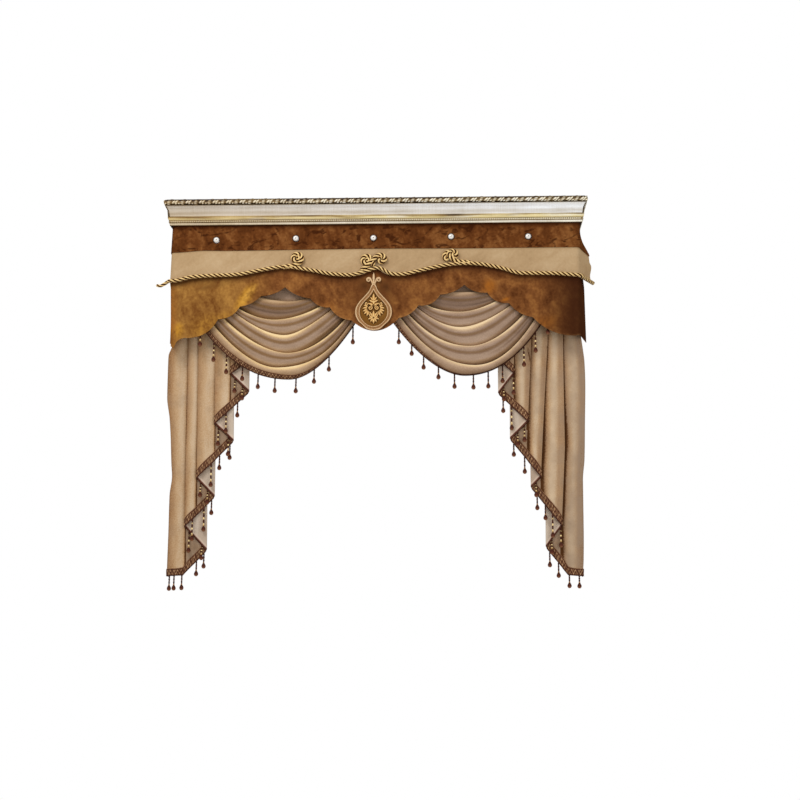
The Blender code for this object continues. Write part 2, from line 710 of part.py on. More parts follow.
def add_fringe(name, top, bottom, facing, drops, material):
    """A comb: a braid strip between two lines of points and a bead drop at each marked column.

    "facing" is the strip's thickness direction, and "drops" holds the column each drop hangs
    from, as wide as the column itself, with how far its bulb swings out from the braid.
    """
    half = facing * BRAID_THICKNESS / 2
    count = len(top)
    points = list(np.concatenate([top + half, top - half, bottom + half, bottom - half]))
    front_top, back_top, front_low, back_low = (
        list(range(k * count, (k + 1) * count)) for k in range(4)
    )
    faces = [(front_top[0], back_top[0], back_low[0], front_low[0])]
    faces.append((front_top[-1], front_low[-1], back_low[-1], back_top[-1]))
    starts = {column: swing for column, swing in drops}
    for i in range(count - 1):
        j = i + 1
        faces.append((front_top[i], front_low[i], front_low[j], front_top[j]))
        faces.append((back_top[i], back_top[j], back_low[j], back_low[i]))
        faces.append((front_top[i], front_top[j], back_top[j], back_top[i]))
        if i not in starts:
            faces.append((front_low[i], back_low[i], back_low[j], front_low[j]))
            continue
        ring = [front_low[i], front_low[j], back_low[j], back_low[i]]
        centre = (bottom[i] + bottom[j]) / 2
        along = bottom[j] - bottom[i]
        along = along / np.linalg.norm(along)
        face = facing[i] / np.linalg.norm(facing[i])
        corners = [face - along, face + along, along - face, -along - face]
        swing = starts[i]
        for drop, radius, share in DROP_RINGS:
            hub = centre + np.array((0.0, -swing * share, -drop))
            flat = [hub + radius * np.array((c[0], c[1], 0.0)) for c in corners]
            new_ring = list(range(len(points), len(points) + 4))
            points += flat
            faces += bridge(ring, new_ring)
            ring = new_ring
        points.append(centre + np.array((0.0, -swing, -DROP_LENGTH)))
        tip = len(points) - 1
        faces += [(ring[k], ring[(k + 1) % 4], tip) for k in range(4)]
    add_mesh(name, points, faces, material)


def clear_marks(marks, columns):
    """The drops' places, moved just far enough that none straddles a column of the cloth."""
    reach = DROP_HALF_WIDTH + 0.5 * MM
    moved = []
    for mark in marks:
        nearest = columns[np.argmin(np.abs(columns - mark))]
        if abs(mark - nearest) < reach:
            mark = nearest + math.copysign(reach, mark - nearest)
        moved.append(mark)
    return moved


def add_swags(satin, braid):
    """Both swags, each with its fringe in front of the hem."""
    for word, table in SWAGS.items():
        middle = swag_surface(table)
        add_sheet(f"swag_{word}", middle, satin)
        normal = surface_normals(middle)[-2:, 1:-1]
        normal *= -np.sign(normal[..., 1:2])
        above, hem = middle[-2:, 1:-1] + normal * (CLOTH / 2 + 3 * GAP + BRAID_THICKNESS / 2)
        marks = clear_marks([x * MM for x in table["drops_x"]], hem[:, 0])
        sides = [m + side * DROP_HALF_WIDTH for m in marks for side in (-1, 1)]
        xs = np.sort(np.concatenate([hem[:, 0], sides]))
        line, higher, facing = (
            np.stack([np.interp(xs, hem[:, 0], grid[:, k]) for k in range(3)], axis=1)
            for grid in (hem, above, normal[-1])
        )
        upward = higher - line
        upward /= np.linalg.norm(upward, axis=1, keepdims=True)
        top = line + upward * 0.4 * BRAID_WIDTH
        bottom = line - upward * BRAID_OVERHANG
        drops = [(int(np.argmin(np.abs(xs - (m - DROP_HALF_WIDTH)))), DROP_FORWARD) for m in marks]
        add_fringe(f"fringe_swag_{word}", top, bottom, facing, drops, braid)


def jabot_layer_depths(z):
    """Depth of every layer at a height: pressed at the heading, looser where it hangs."""
    loose = np.clip((-z - JABOT_FREE_FROM) / (JABOT_LOOSE_FROM - JABOT_FREE_FROM), 0, 1)
    depths = []
    for layer in range(JABOT_LAYERS):
        face_gaps = (layer + 1) // 2
        back_gaps = layer // 2
        pressed = JABOT_HEADING_DEPTH + layer * JABOT_HEADING_PITCH
        hung = JABOT_HANG_DEPTH + face_gaps * JABOT_FACE_PITCH + back_gaps * JABOT_BACK_PITCH
        depths.append(pressed + (hung - pressed) * loose)
    return depths


def jabot_section(table):
    """Columns of a jabot from its wall end inwards.

    Each is (distance from the middle, layer, share of the way to the next layer, hem, edge, fold):
    the outermost layer is at the back, and each fold turns forward into the next. "edge" is how
    much of the outer edge's wave the column takes. "fold" is 1 on the first fold, 1.5 half way to
    the second, and so on.
    """
    outer = JABOT_HALF_WIDTH / MM
    hem_outer = table["hem_outer"]
    corner = JABOT_CORNER_RADIUS / MM
    columns = [(outer, -2.0, 0.0, hem_outer, 1.0, 0.0), (outer, -1.0, 0.0, hem_outer, 1.0, 0.0)]
    for degrees in (0, 45, 90):
        a = math.radians(degrees)
        inward = corner * (1 - math.cos(a))
        back = corner * (1 - math.sin(a)) * MM
        columns.append((outer - inward, -back, 0.0, hem_outer, 1.0, 0.0))
    corner_x, corner_z = table["hem_corner"]
    columns.append((corner_x, 0.0, 0.0, corner_z, 0.6, 0.5))
    places = list(table["folds"]) + [table["inner"]]
    before = (corner_x, corner_z)
    for layer, (distance, hem) in enumerate(places):
        direction = 1.0 if distance > before[0] else -1.0
        if layer > 0:
            middle = ((before[0] + distance) / 2, (before[1] + hem) / 2)
            columns.append((middle[0], float(layer), 0.0, middle[1], 0.0, layer + 0.5))
        if layer < JABOT_LAYERS - 1:
            flat_end = distance - direction * FOLD_SETBACK
            fold = layer + 1.0
            columns.append((flat_end, float(layer), 0.0, hem - FOLD_SETBACK, 0.0, fold))
            columns.append((distance, float(layer), 0.5, hem, 0.0, fold))
            columns.append((flat_end, float(layer), 1.0, hem + FOLD_SETBACK, 0.0, fold))
        else:
            columns.append((distance, float(layer), 0.0, hem, 0.0, layer + 1.0))
        before = (distance, hem)
    return columns


def jabot_outwards(table, edge, fold, z):
    """How far columns move outwards at a height, with the outer edge and the folds next to them."""
    drops, wave = np.array(table["edge_wave"]).T * MM
    outwards = edge * np.interp(-z, drops, wave)
    for number, rows in table["leans"].items():
        drops, lean = np.array(rows).T * MM
        near = np.maximum(0.0, 1.0 - np.abs(fold - number))
        outwards = outwards + near * np.interp(-z, drops, lean)
    return outwards


def jabot_point(table, column, z):
    """Position of one column of a jabot at a height."""
    distance, layer, share, _, edge, fold = column
    depths = jabot_layer_depths(z)
    if layer <= -1.0:
        depth = JABOT_RETURN_DEPTH if layer < -1.5 else 0.5 * (JABOT_RETURN_DEPTH + depths[0])
    elif layer < 0.0:
        depth = depths[0] + layer
    else:
        whole = int(layer)
        after = depths[min(whole + 1, JABOT_LAYERS - 1)]
        depth = depths[whole] + (after - depths[whole]) * share
    outwards = distance * MM + float(jabot_outwards(table, edge, fold, z))
    return (table["side"] * outwards, -depth, z)


def add_jabots(velvet, braid):
    """Both jabots with their fringes on the face of the cloth."""
    for word, table in JABOTS.items():
        columns = jabot_section(table)
        rows = [[jabot_point(table, c, HEADING_TOP) for c in columns]]
        for drop in (JABOT_FREE_FROM, JABOT_LOOSE_FROM, JABOT_FLARE_FROM, JABOT_INNER_HEM):
            rows.append([jabot_point(table, c, -drop) for c in columns])
        for share in JABOT_LEVELS:
            levels = [-JABOT_INNER_HEM + (c[3] * MM + JABOT_INNER_HEM) * share for c in columns]
            rows.append([jabot_point(table, c, z) for c, z in zip(columns, levels)])
        middle = np.array(rows)
        normal = np.array([plan_normals(row) for row in middle])
        add_sheet(f"jabot_{word}", middle, velvet, normal)
        add_jabot_fringe(word, table, columns, braid)


def add_jabot_fringe(word, table, columns, braid):
    """The comb along a jabot's stepped hem, on the face side of the cloth."""
    side = table["side"]
    plan = np.array([jabot_point(table, c, c[3] * MM) for c in columns])
    run = np.concatenate([[0], np.cumsum(np.hypot(*np.diff(plan[:, :2], axis=0).T))])
    layer_of = np.array([c[1] for c in columns])

    folds = [i for i in range(len(columns)) if not is_straight(columns, i)]
    marks = []
    for layer, distances in table["drops"]:
        members = [i for i, v in enumerate(layer_of) if v == layer - 1 and columns[i][2] == 0.0]
        if layer > 1:
            members = [members[0] - 1] + members
        members = sorted(members, key=lambda i: abs(plan[i, 0]))
        for distance in distances:
            place = np.interp(distance * MM, np.abs(plan[members, 0]), run[members])
            marks.append((place, layer))
    marks.sort()
    places = clear_marks([place for place, _ in marks], run[folds])
    sides = [place + end * DROP_HALF_WIDTH for place in places for end in (-1, 1)]
    stations = np.sort(np.concatenate([run[folds], sides]))
    line = np.stack([np.interp(stations, run, plan[:, k]) for k in range(3)], axis=1)
    slope = np.abs(np.gradient(line[:, 2], stations))
    tall = BRAID_WIDTH * np.sqrt(1 + np.minimum(slope, 1.6) ** 2)
    edge, fold = (np.interp(stations, run, [c[k] for c in columns]) for k in (4, 5))
    facing = -side * plan_normals(line)
    face_line = line + facing * (CLOTH / 2 + 2 * GAP + BRAID_THICKNESS / 2)
    top = face_line + np.stack([0 * tall, 0 * tall, tall], axis=1)
    moves = [jabot_outwards(table, edge, fold, ends[:, 2]) for ends in (top, line)]
    top[:, 0] += side * (moves[0] - moves[1])
    bottom = face_line - np.array((0.0, 0.0, BRAID_OVERHANG))
    drops = []
    for place, (_, layer) in zip(places, marks):
        column = int(np.argmin(np.abs(stations - (place - DROP_HALF_WIDTH))))
        drops.append((column, DROP_FORWARD if layer % 2 == 0 else 0.5 * DROP_FORWARD))
    add_fringe(f"fringe_jabot_{word}", top, bottom, facing, drops, braid)


def is_straight(columns, i):
    """True for a column in the middle of a flat layer, which the braid can do without."""
    return i > 0 and columns[i - 1][2] == 1.0


def build():
    """Model the whole valance."""
    clear_scene()
    timber = make_material("timber", (0.45, 0.32, 0.20), 0.7)
    leaf = make_material("champagne_leaf", (0.62, 0.53, 0.38), 0.35, 0.9)
    brown = make_material("brown_suede", (0.17, 0.075, 0.025), 0.9)
    tan = make_material("tan_suede", (0.47, 0.34, 0.20), 0.9)
    velvet = make_material("brown_velvet", (0.27, 0.13, 0.04), 0.85)
    satin = make_material("beige_satin", (0.52, 0.40, 0.27), 0.5)
    cascade = make_material("beige_velvet", (0.50, 0.37, 0.24), 0.8)
    braid = make_material("brown_braid", (0.20, 0.10, 0.04), 0.7)
    rope = make_material("gold_rope", (0.55, 0.38, 0.13), 0.5)
    pearl = make_material("pearl", (0.80, 0.78, 0.74), 0.2)
    cord = make_material("cream_cord", (0.62, 0.45, 0.27), 0.6)

    add_boards(timber)
    add_cornice(leaf)
    add_bands(brown, tan)
    add_lambrequin(velvet)
    add_rope(rope)
    add_knots(rope)
    add_studs(pearl)
    add_medallion(velvet, cord)
    add_swags(satin, braid)
    add_jabots(cascade, braid)


build()
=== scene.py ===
"""Looks of the window valance with cornice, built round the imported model.

Sizes are metres. x runs to the right, y runs back to the wall at y = 0, and z runs up. "Depth" is a
distance forward from the wall, so a point at depth d has y = -d. Tables are in millimetres, a row for
each fold, lobe or station.
"""

import logging
import math
from dataclasses import dataclass, field
from enum import Enum

import bpy
import numpy as np
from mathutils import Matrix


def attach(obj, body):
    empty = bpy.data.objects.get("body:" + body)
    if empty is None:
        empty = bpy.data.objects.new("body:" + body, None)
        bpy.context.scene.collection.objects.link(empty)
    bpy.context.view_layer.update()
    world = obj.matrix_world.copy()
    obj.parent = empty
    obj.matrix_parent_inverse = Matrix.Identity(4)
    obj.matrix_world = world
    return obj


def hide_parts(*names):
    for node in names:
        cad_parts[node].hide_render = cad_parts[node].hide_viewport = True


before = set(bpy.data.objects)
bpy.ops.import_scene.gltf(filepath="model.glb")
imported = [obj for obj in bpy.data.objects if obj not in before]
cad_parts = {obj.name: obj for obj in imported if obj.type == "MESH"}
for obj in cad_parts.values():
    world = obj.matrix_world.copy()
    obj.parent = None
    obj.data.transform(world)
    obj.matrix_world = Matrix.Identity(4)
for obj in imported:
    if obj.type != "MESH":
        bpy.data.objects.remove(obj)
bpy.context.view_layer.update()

Array = np.ndarray
Socket = bpy.types.NodeSocket
Piece = bpy.types.Object
Material = bpy.types.Material

MM = 0.001
TURN = 2 * math.pi
GAP = 0.3 * MM
CLOTH = 2.0 * MM
LAYER = 2.8 * MM  # from the middle of one band to the middle of the next
UP = np.array((0.0, 0.0, 1.0))
FORWARD = np.array((0.0, -1.0, 0.0))
log = logging.getLogger("valance")


# ---------------------------------------------------------------- shapes


def ease(t: Array) -> Array:
    """Smooth step from 0 to 1: 3t^2 - 2t^3 of t kept between 0 and 1."""
    t = np.clip(t, 0.0, 1.0)
    return t * t * (3.0 - 2.0 * t)


def bell(t: Array, centre: float, width: float) -> Array:
    """Bell curve exp(-((t - centre) / width)^2)."""
    return np.exp(-(((t - centre) / width) ** 2))


def unit(vectors: Array) -> Array:
    """Vectors divided by their lengths."""
    return vectors / np.maximum(np.linalg.norm(vectors, axis=-1, keepdims=True), 1e-12)


def grid_of(*parts: Array | float) -> Array:
    """Numbers or grids that fit together, stacked along a last axis."""
    return np.stack(np.broadcast_arrays(*parts), axis=-1)


def read_at(places: Array, points: Array, wanted: Array) -> Array:
    """Rows of points read between their places at the wanted ones."""
    return grid_of(*(np.interp(wanted, places, column) for column in points.T))


def run_along(points: Array) -> Array:
    """Length of a polyline from its start to each point."""
    steps = np.linalg.norm(np.diff(points, axis=0), axis=1)
    return np.concatenate([[0.0], np.cumsum(steps)])


def smooth_table(rows: Array, at: Array) -> Array:
    """Monotone cubic curve through a table.

    Hermite pieces whose slopes are harmonic means of the chords', so the curve never overshoots.

    Args:
        rows: two columns, place and value, with rising places.
        at: places to read.

    Returns:
        The values at those places.
    """
    rows = np.asarray(rows, float)
    where = np.clip(at, rows[0, 0], rows[-1, 0])
    steps = np.diff(rows[:, 1]) / np.diff(rows[:, 0])
    product = steps[1:] * steps[:-1]
    inner = np.where(product > 0, 2 * product / (steps[1:] + steps[:-1] + 1e-12), 0.0)
    slopes = np.concatenate([[0.0], inner, [0.0]])
    k = np.clip(np.searchsorted(rows[:, 0], where, side="right") - 1, 0, len(rows) - 2)
    width = rows[k + 1, 0] - rows[k, 0]
    t = (where - rows[k, 0]) / width
    values = (2 * t**3 - 3 * t**2 + 1) * rows[k, 1] + (3 * t**2 - 2 * t**3) * rows[k + 1, 1]
    return values + width * ((t**3 - 2 * t**2 + t) * slopes[k] + (t**3 - t**2) * slopes[k + 1])


def smooth_path(points: Array, count: int) -> Array:
    """Evenly spaced points on a Catmull-Rom curve, sampled densely and read at equal lengths.

    Args:
        points: rows of coordinates that the curve passes through.
        count: how many points come back.

    Returns:
        The curve's points.
    """
    points = np.asarray(points, float)
    ends = np.vstack([2 * points[0] - points[1], points, 2 * points[-1] - points[-2]])
    t = np.linspace(0, len(points) - 1, 24 * len(points))
    k = np.minimum(t.astype(int), len(points) - 2)
    s = (t - k)[:, None]
    a, b, c, d = (ends[k + i] for i in range(4))
    dense = 0.5 * (2 * b + (c - a) * s + (2 * a - 5 * b + 4 * c - d) * s**2 + (3 * b - a - 3 * c + d) * s**3)
    length = run_along(dense)
    return read_at(length, dense, np.linspace(0, length[-1], count))


def climb_down(grid: Array) -> Array:
    """Length along each column of a grid from its first row to each point."""
    steps = np.linalg.norm(np.diff(grid, axis=0), axis=2)
    return np.concatenate([0 * steps[:1], np.cumsum(steps, axis=0)])


def grid_normals(points: Array) -> Array:
    """Unit normals of a grid: cross product of its two gradients."""
    return unit(np.cross(np.gradient(points, axis=1), np.gradient(points, axis=0)))


def plan_normals(grid: Array) -> Array:
    """Mitred level normals of each row of a grid, so that an offset stays parallel to the row.

    Args:
        grid: rows of points.

    Returns:
        The normal at each point, longer than 1 at a bend.
    """
    steps = unit(np.diff(grid[..., :2], axis=1))
    sides = grid_of(steps[..., 1], -steps[..., 0], 0 * steps[..., 0])
    before = np.concatenate([sides[:, :1], sides], axis=1)
    after = np.concatenate([sides, sides[:, -1:]], axis=1)
    return (before + after) / np.maximum(1 + np.sum(before * after, axis=2, keepdims=True), 0.3)


@dataclass
class Body:
    """One closed shell: points, faces, a map place for each face corner, and marks for each point."""

    points: Array
    faces: list[Array]
    maps: list[Array]
    marks: dict[str, Array] = field(default_factory=dict)

    def outward(self) -> "Body":
        """The same shell with its faces turned out, told by the sign of its volume.

        Returns:
            The shell itself.
        """
        volume = 0.0
        for face in self.faces:
            corner = self.points[face]
            for k in range(1, face.shape[1] - 1):
                volume += float(np.sum(corner[:, 0] * np.cross(corner[:, k], corner[:, k + 1])))
        if volume < 0:
            self.faces = [face[:, ::-1] for face in self.faces]
            self.maps = [place[:, ::-1] for place in self.maps]
        return self

    def repeated(self, places: Array, sizes: Array, marks: dict[str, Array]) -> "Body":
        """Copies at many places, each scaled along x, y and z.

        Args:
            places: a row for each copy.
            sizes: a row of three scales for each copy.
            marks: a value for each copy, carried by all its points.

        Returns:
            All copies as one body.
        """
        count, own = len(places), len(self.points)
        points = (self.points[None] * sizes[:, None] + places[:, None]).reshape(-1, 3)
        shift = np.arange(count)[:, None, None] * own
        faces = [(face[None] + shift).reshape(-1, face.shape[1]) for face in self.faces]
        maps = [np.tile(place, (count, 1, 1)) for place in self.maps]
        own_marks = {key: np.tile(value, count) for key, value in self.marks.items()}
        return Body(points, faces, maps, own_marks | {key: np.repeat(v, own) for key, v in marks.items()})


def joined(bodies: list[Body]) -> Body:
    """Several bodies as one.

    Args:
        bodies: the shells.

    Returns:
        One body with the marks of all, 0 where one has none.
    """
    starts = np.cumsum([0] + [len(body.points) for body in bodies])
    faces = [face + start for body, start in zip(bodies, starts) for face in body.faces]
    maps = [place for body in bodies for place in body.maps]
    marks = {}
    for key in sorted({key for body in bodies for key in body.marks}):
        marks[key] = np.concatenate([body.marks.get(key, np.zeros(len(body.points))) for body in bodies])
    return Body(np.concatenate([body.points for body in bodies]), faces, maps, marks)


def quads_of(index: Array) -> Array:
    """Quads between neighbours of a grid of numbers."""
    corners = (index[:-1, :-1], index[:-1, 1:], index[1:, 1:], index[1:, :-1])
    return np.stack(corners, axis=-1).reshape(-1, 4)


def sheet_body(
    middle: Array, thick: Array | float, uv: Array, marks: dict[str, Array],
    normal: Array | None = None, relief: Array | float = 0.0,
) -> Body:
    """A closed sheet: its middle surface moved half a thickness to each side, with a round rim.

    Args:
        middle: grid of points.
        thick: thickness, even or for each point.
        uv: map place of each point.
        marks: values of each point. "reverse" is added: 0 on the side that the normal leaves from.
        normal: the grid's normals, if they aren't to be worked out.
        relief: extra height of the front, even or for each point.

    Returns:
        The closed body.
    """
    normal = grid_normals(middle) if normal is None else normal
    rows, columns = middle.shape[:2]
    half = np.broadcast_to(np.asarray(thick) / 2, (rows, columns))[..., None]
    extra = np.broadcast_to(np.asarray(relief), (rows, columns))[..., None]
    front = middle + normal * (half + extra)
    back = middle - normal * half
    count = rows * columns
    index = np.arange(count).reshape(rows, columns)
    loop = np.concatenate([index[0], index[1:, -1], index[-1, -2::-1], index[-2:0:-1, 0]])
    r, c = np.divmod(loop, columns)
    inner = middle[np.clip(r, 1, rows - 2), np.clip(c, 1, columns - 2)]
    rim = 0.5 * (front[r, c] + back[r, c]) + unit(middle[r, c] - inner) * half[r, c]
    points = np.concatenate([front.reshape(-1, 3), back.reshape(-1, 3), rim])
    flat_uv = uv.reshape(-1, 2)
    places = np.concatenate([flat_uv, flat_uv, flat_uv[loop]])
    rings = np.stack([loop, 2 * count + np.arange(len(loop)), loop + count])
    rings = np.concatenate([rings, rings[:, :1]], axis=1)
    quads = np.concatenate([quads_of(index), quads_of(index + count)[:, ::-1], quads_of(rings)[:, ::-1]])
    full = {"reverse": np.concatenate([np.zeros(count), np.ones(count), np.full(len(loop), 0.5)])}
    for key, value in marks.items():
        flat = np.broadcast_to(value, (rows, columns)).ravel()
        full[key] = np.concatenate([flat, flat, flat[loop]])
    return Body(points, [quads], [places[quads]], full).outward()


def carried_body(rings: Array, uv: Array, marks: dict[str, Array], closed: bool = False) -> Body:
    """A solid from closed sections: a ring for each row, joined, and capped unless it is closed.

    Args:
        rings: sections x points x 3.
        uv: map places, one column more than the rings have, and one row more if closed.
        marks: values, sections x points.
        closed: True where the last section meets the first.

    Returns:
        The closed body.
    """
    rows, columns = rings.shape[:2]
    index = np.arange(rows * columns).reshape(rows, columns)
    index = np.concatenate([index, index[:, :1]], axis=1)
    if closed:
        index = np.concatenate([index, index[:1]], axis=0)
    faces = [quads_of(index)]
    maps = [uv.reshape(-1, 2)[quads_of(np.arange(index.size).reshape(index.shape))]]
    points = rings.reshape(-1, 3)
    full = {key: np.broadcast_to(value, (rows, columns)).ravel() for key, value in marks.items()}
    if not closed:
        hub = len(points)
        points = np.concatenate([points, [rings[0].mean(axis=0), rings[-1].mean(axis=0)]])
        first = grid_of(index[0, 1:], index[0, :-1], hub)
        faces.append(np.concatenate([first, grid_of(index[-1, :-1], index[-1, 1:], hub + 1)]))
        maps.append(np.repeat(np.concatenate([uv[0, :-1], uv[-1, :-1]])[:, None], 3, axis=1))
        full = {key: np.append(value, [value[0], value[-1]]) for key, value in full.items()}
    return Body(points, faces, maps, full).outward()


def path_frames(path: Array, reference: Array) -> tuple[Array, Array]:
    """Two unit vectors across a path: one square to it and the reference, one square to both.

    Args:
        path: the points.
        reference: a direction across it.

    Returns:
        Both vectors at each point.
    """
    tangent = unit(np.gradient(path, axis=0))
    side = unit(np.cross(tangent, reference))
    return side, np.cross(side, tangent)


def tube_body(path: Array, across: Array, rise: Array, reference: Array, sides: int, tone: float) -> Body:
    """A tapering oval tube along a path, closed with round ends.

    Args:
        path: points of the centre line.
        across: half width at each point, square to the reference.
        rise: half height at each point, along the reference.
        reference: direction of the height.
        sides: points round the section.
        tone: mark of every point at the crest, less towards the sides: painted highlight on the crest,
            painted shade on the sides.

    Returns:
        The closed body.
    """
    side, up = path_frames(path, reference)
    angle = np.linspace(0, TURN, sides, endpoint=False)
    wide = across[:, None, None] * np.cos(angle)[None, :, None] * side[:, None]
    high = rise[:, None, None] * np.sin(angle)[None, :, None] * up[:, None]
    uv = grid_of(run_along(path)[:, None], np.linspace(0, 1, sides + 1))
    crest = tone * (0.08 + 0.92 * np.abs(np.sin(angle)) ** 1.5)
    return carried_body(path[:, None] + wide + high, uv, {"tone": crest})


def turned_body(profile: Array, sides: int, tone: Array) -> Body:
    """A body turned round the y axis from rows of radius and height forward.

    Args:
        profile: rows of radius and height, from the middle of the back to the middle of the front.
        sides: points round.
        tone: mark of each row.

    Returns:
        The closed body.
    """
    angle = np.linspace(0, TURN, sides, endpoint=False)
    radius, height = profile[:, :1], profile[:, 1:]
    rings = grid_of(radius * np.cos(angle), -height, radius * np.sin(angle))
    uv = grid_of(np.linspace(0, 1, sides + 1)[None], run_along(profile)[:, None])
    return carried_body(rings, uv, {"tone": tone[:, None]})


def ball_body(tip: float, tone: Array) -> Body:
    """A ball of radius 1.

    Args:
        tip: radius of the flats at its poles.
        tone: mark of each row from the back to the front.

    Returns:
        The closed body.
    """
    angle = np.linspace(-math.pi / 2, math.pi / 2, len(tone))
    profile = grid_of(np.cos(angle), np.sin(angle))
    profile[[0, -1], 0] = tip
    return turned_body(profile, 8, np.asarray(tone))


def make_piece(name: str, bodies: list[Body], material: Material, sharp: float = 40.0) -> Piece:
    """One mesh object from closed bodies, riding on the root body.

    Args:
        name: the piece's name.
        bodies: the shells that make it up.
        material: its finish.
        sharp: edges that turn by more than this many degrees stay crisp.

    Returns:
        The object.
    """
    body = joined(bodies)
    totals = np.concatenate([np.full(len(face), face.shape[1]) for face in body.faces])
    corners = np.concatenate([face.ravel() for face in body.faces])
    places = np.concatenate([place.ravel() for place in body.maps])
    mesh = bpy.data.meshes.new(name)
    mesh.vertices.add(len(body.points))
    mesh.vertices.foreach_set("co", body.points.astype(np.float32).ravel())
    mesh.loops.add(len(corners))
    mesh.polygons.add(len(totals))
    mesh.polygons.foreach_set("loop_start", np.cumsum(totals) - totals)
    mesh.polygons.foreach_set("vertices", corners)
    mesh.uv_layers.new(name="run").data.foreach_set("uv", places.astype(np.float32))
    for key, values in body.marks.items():
        mesh.attributes.new(key, "FLOAT", "POINT").data.foreach_set("value", values.astype(np.float32))
    mesh.update(calc_edges=True)
    mesh.validate()
    mesh.shade_smooth()
    mesh.set_sharp_from_angle(angle=math.radians(sharp))
    mesh.materials.append(material)
    piece = bpy.data.objects.new(name, mesh)
    bpy.context.scene.collection.objects.link(piece)
    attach(piece, "root")
    log.info("%s: %d triangles", name, np.sum(totals - 2))
    return piece


# ---------------------------------------------------------------- finishes


def dye(red: int, green: int, blue: int) -> tuple[float, float, float, float]:
    """A colour given by its display values from 0 to 255, as linear light."""
    shares = (value / 255 for value in (red, green, blue))
    return (*(s / 12.92 if s <= 0.04045 else ((s + 0.055) / 1.055) ** 2.4 for s in shares), 1.0)


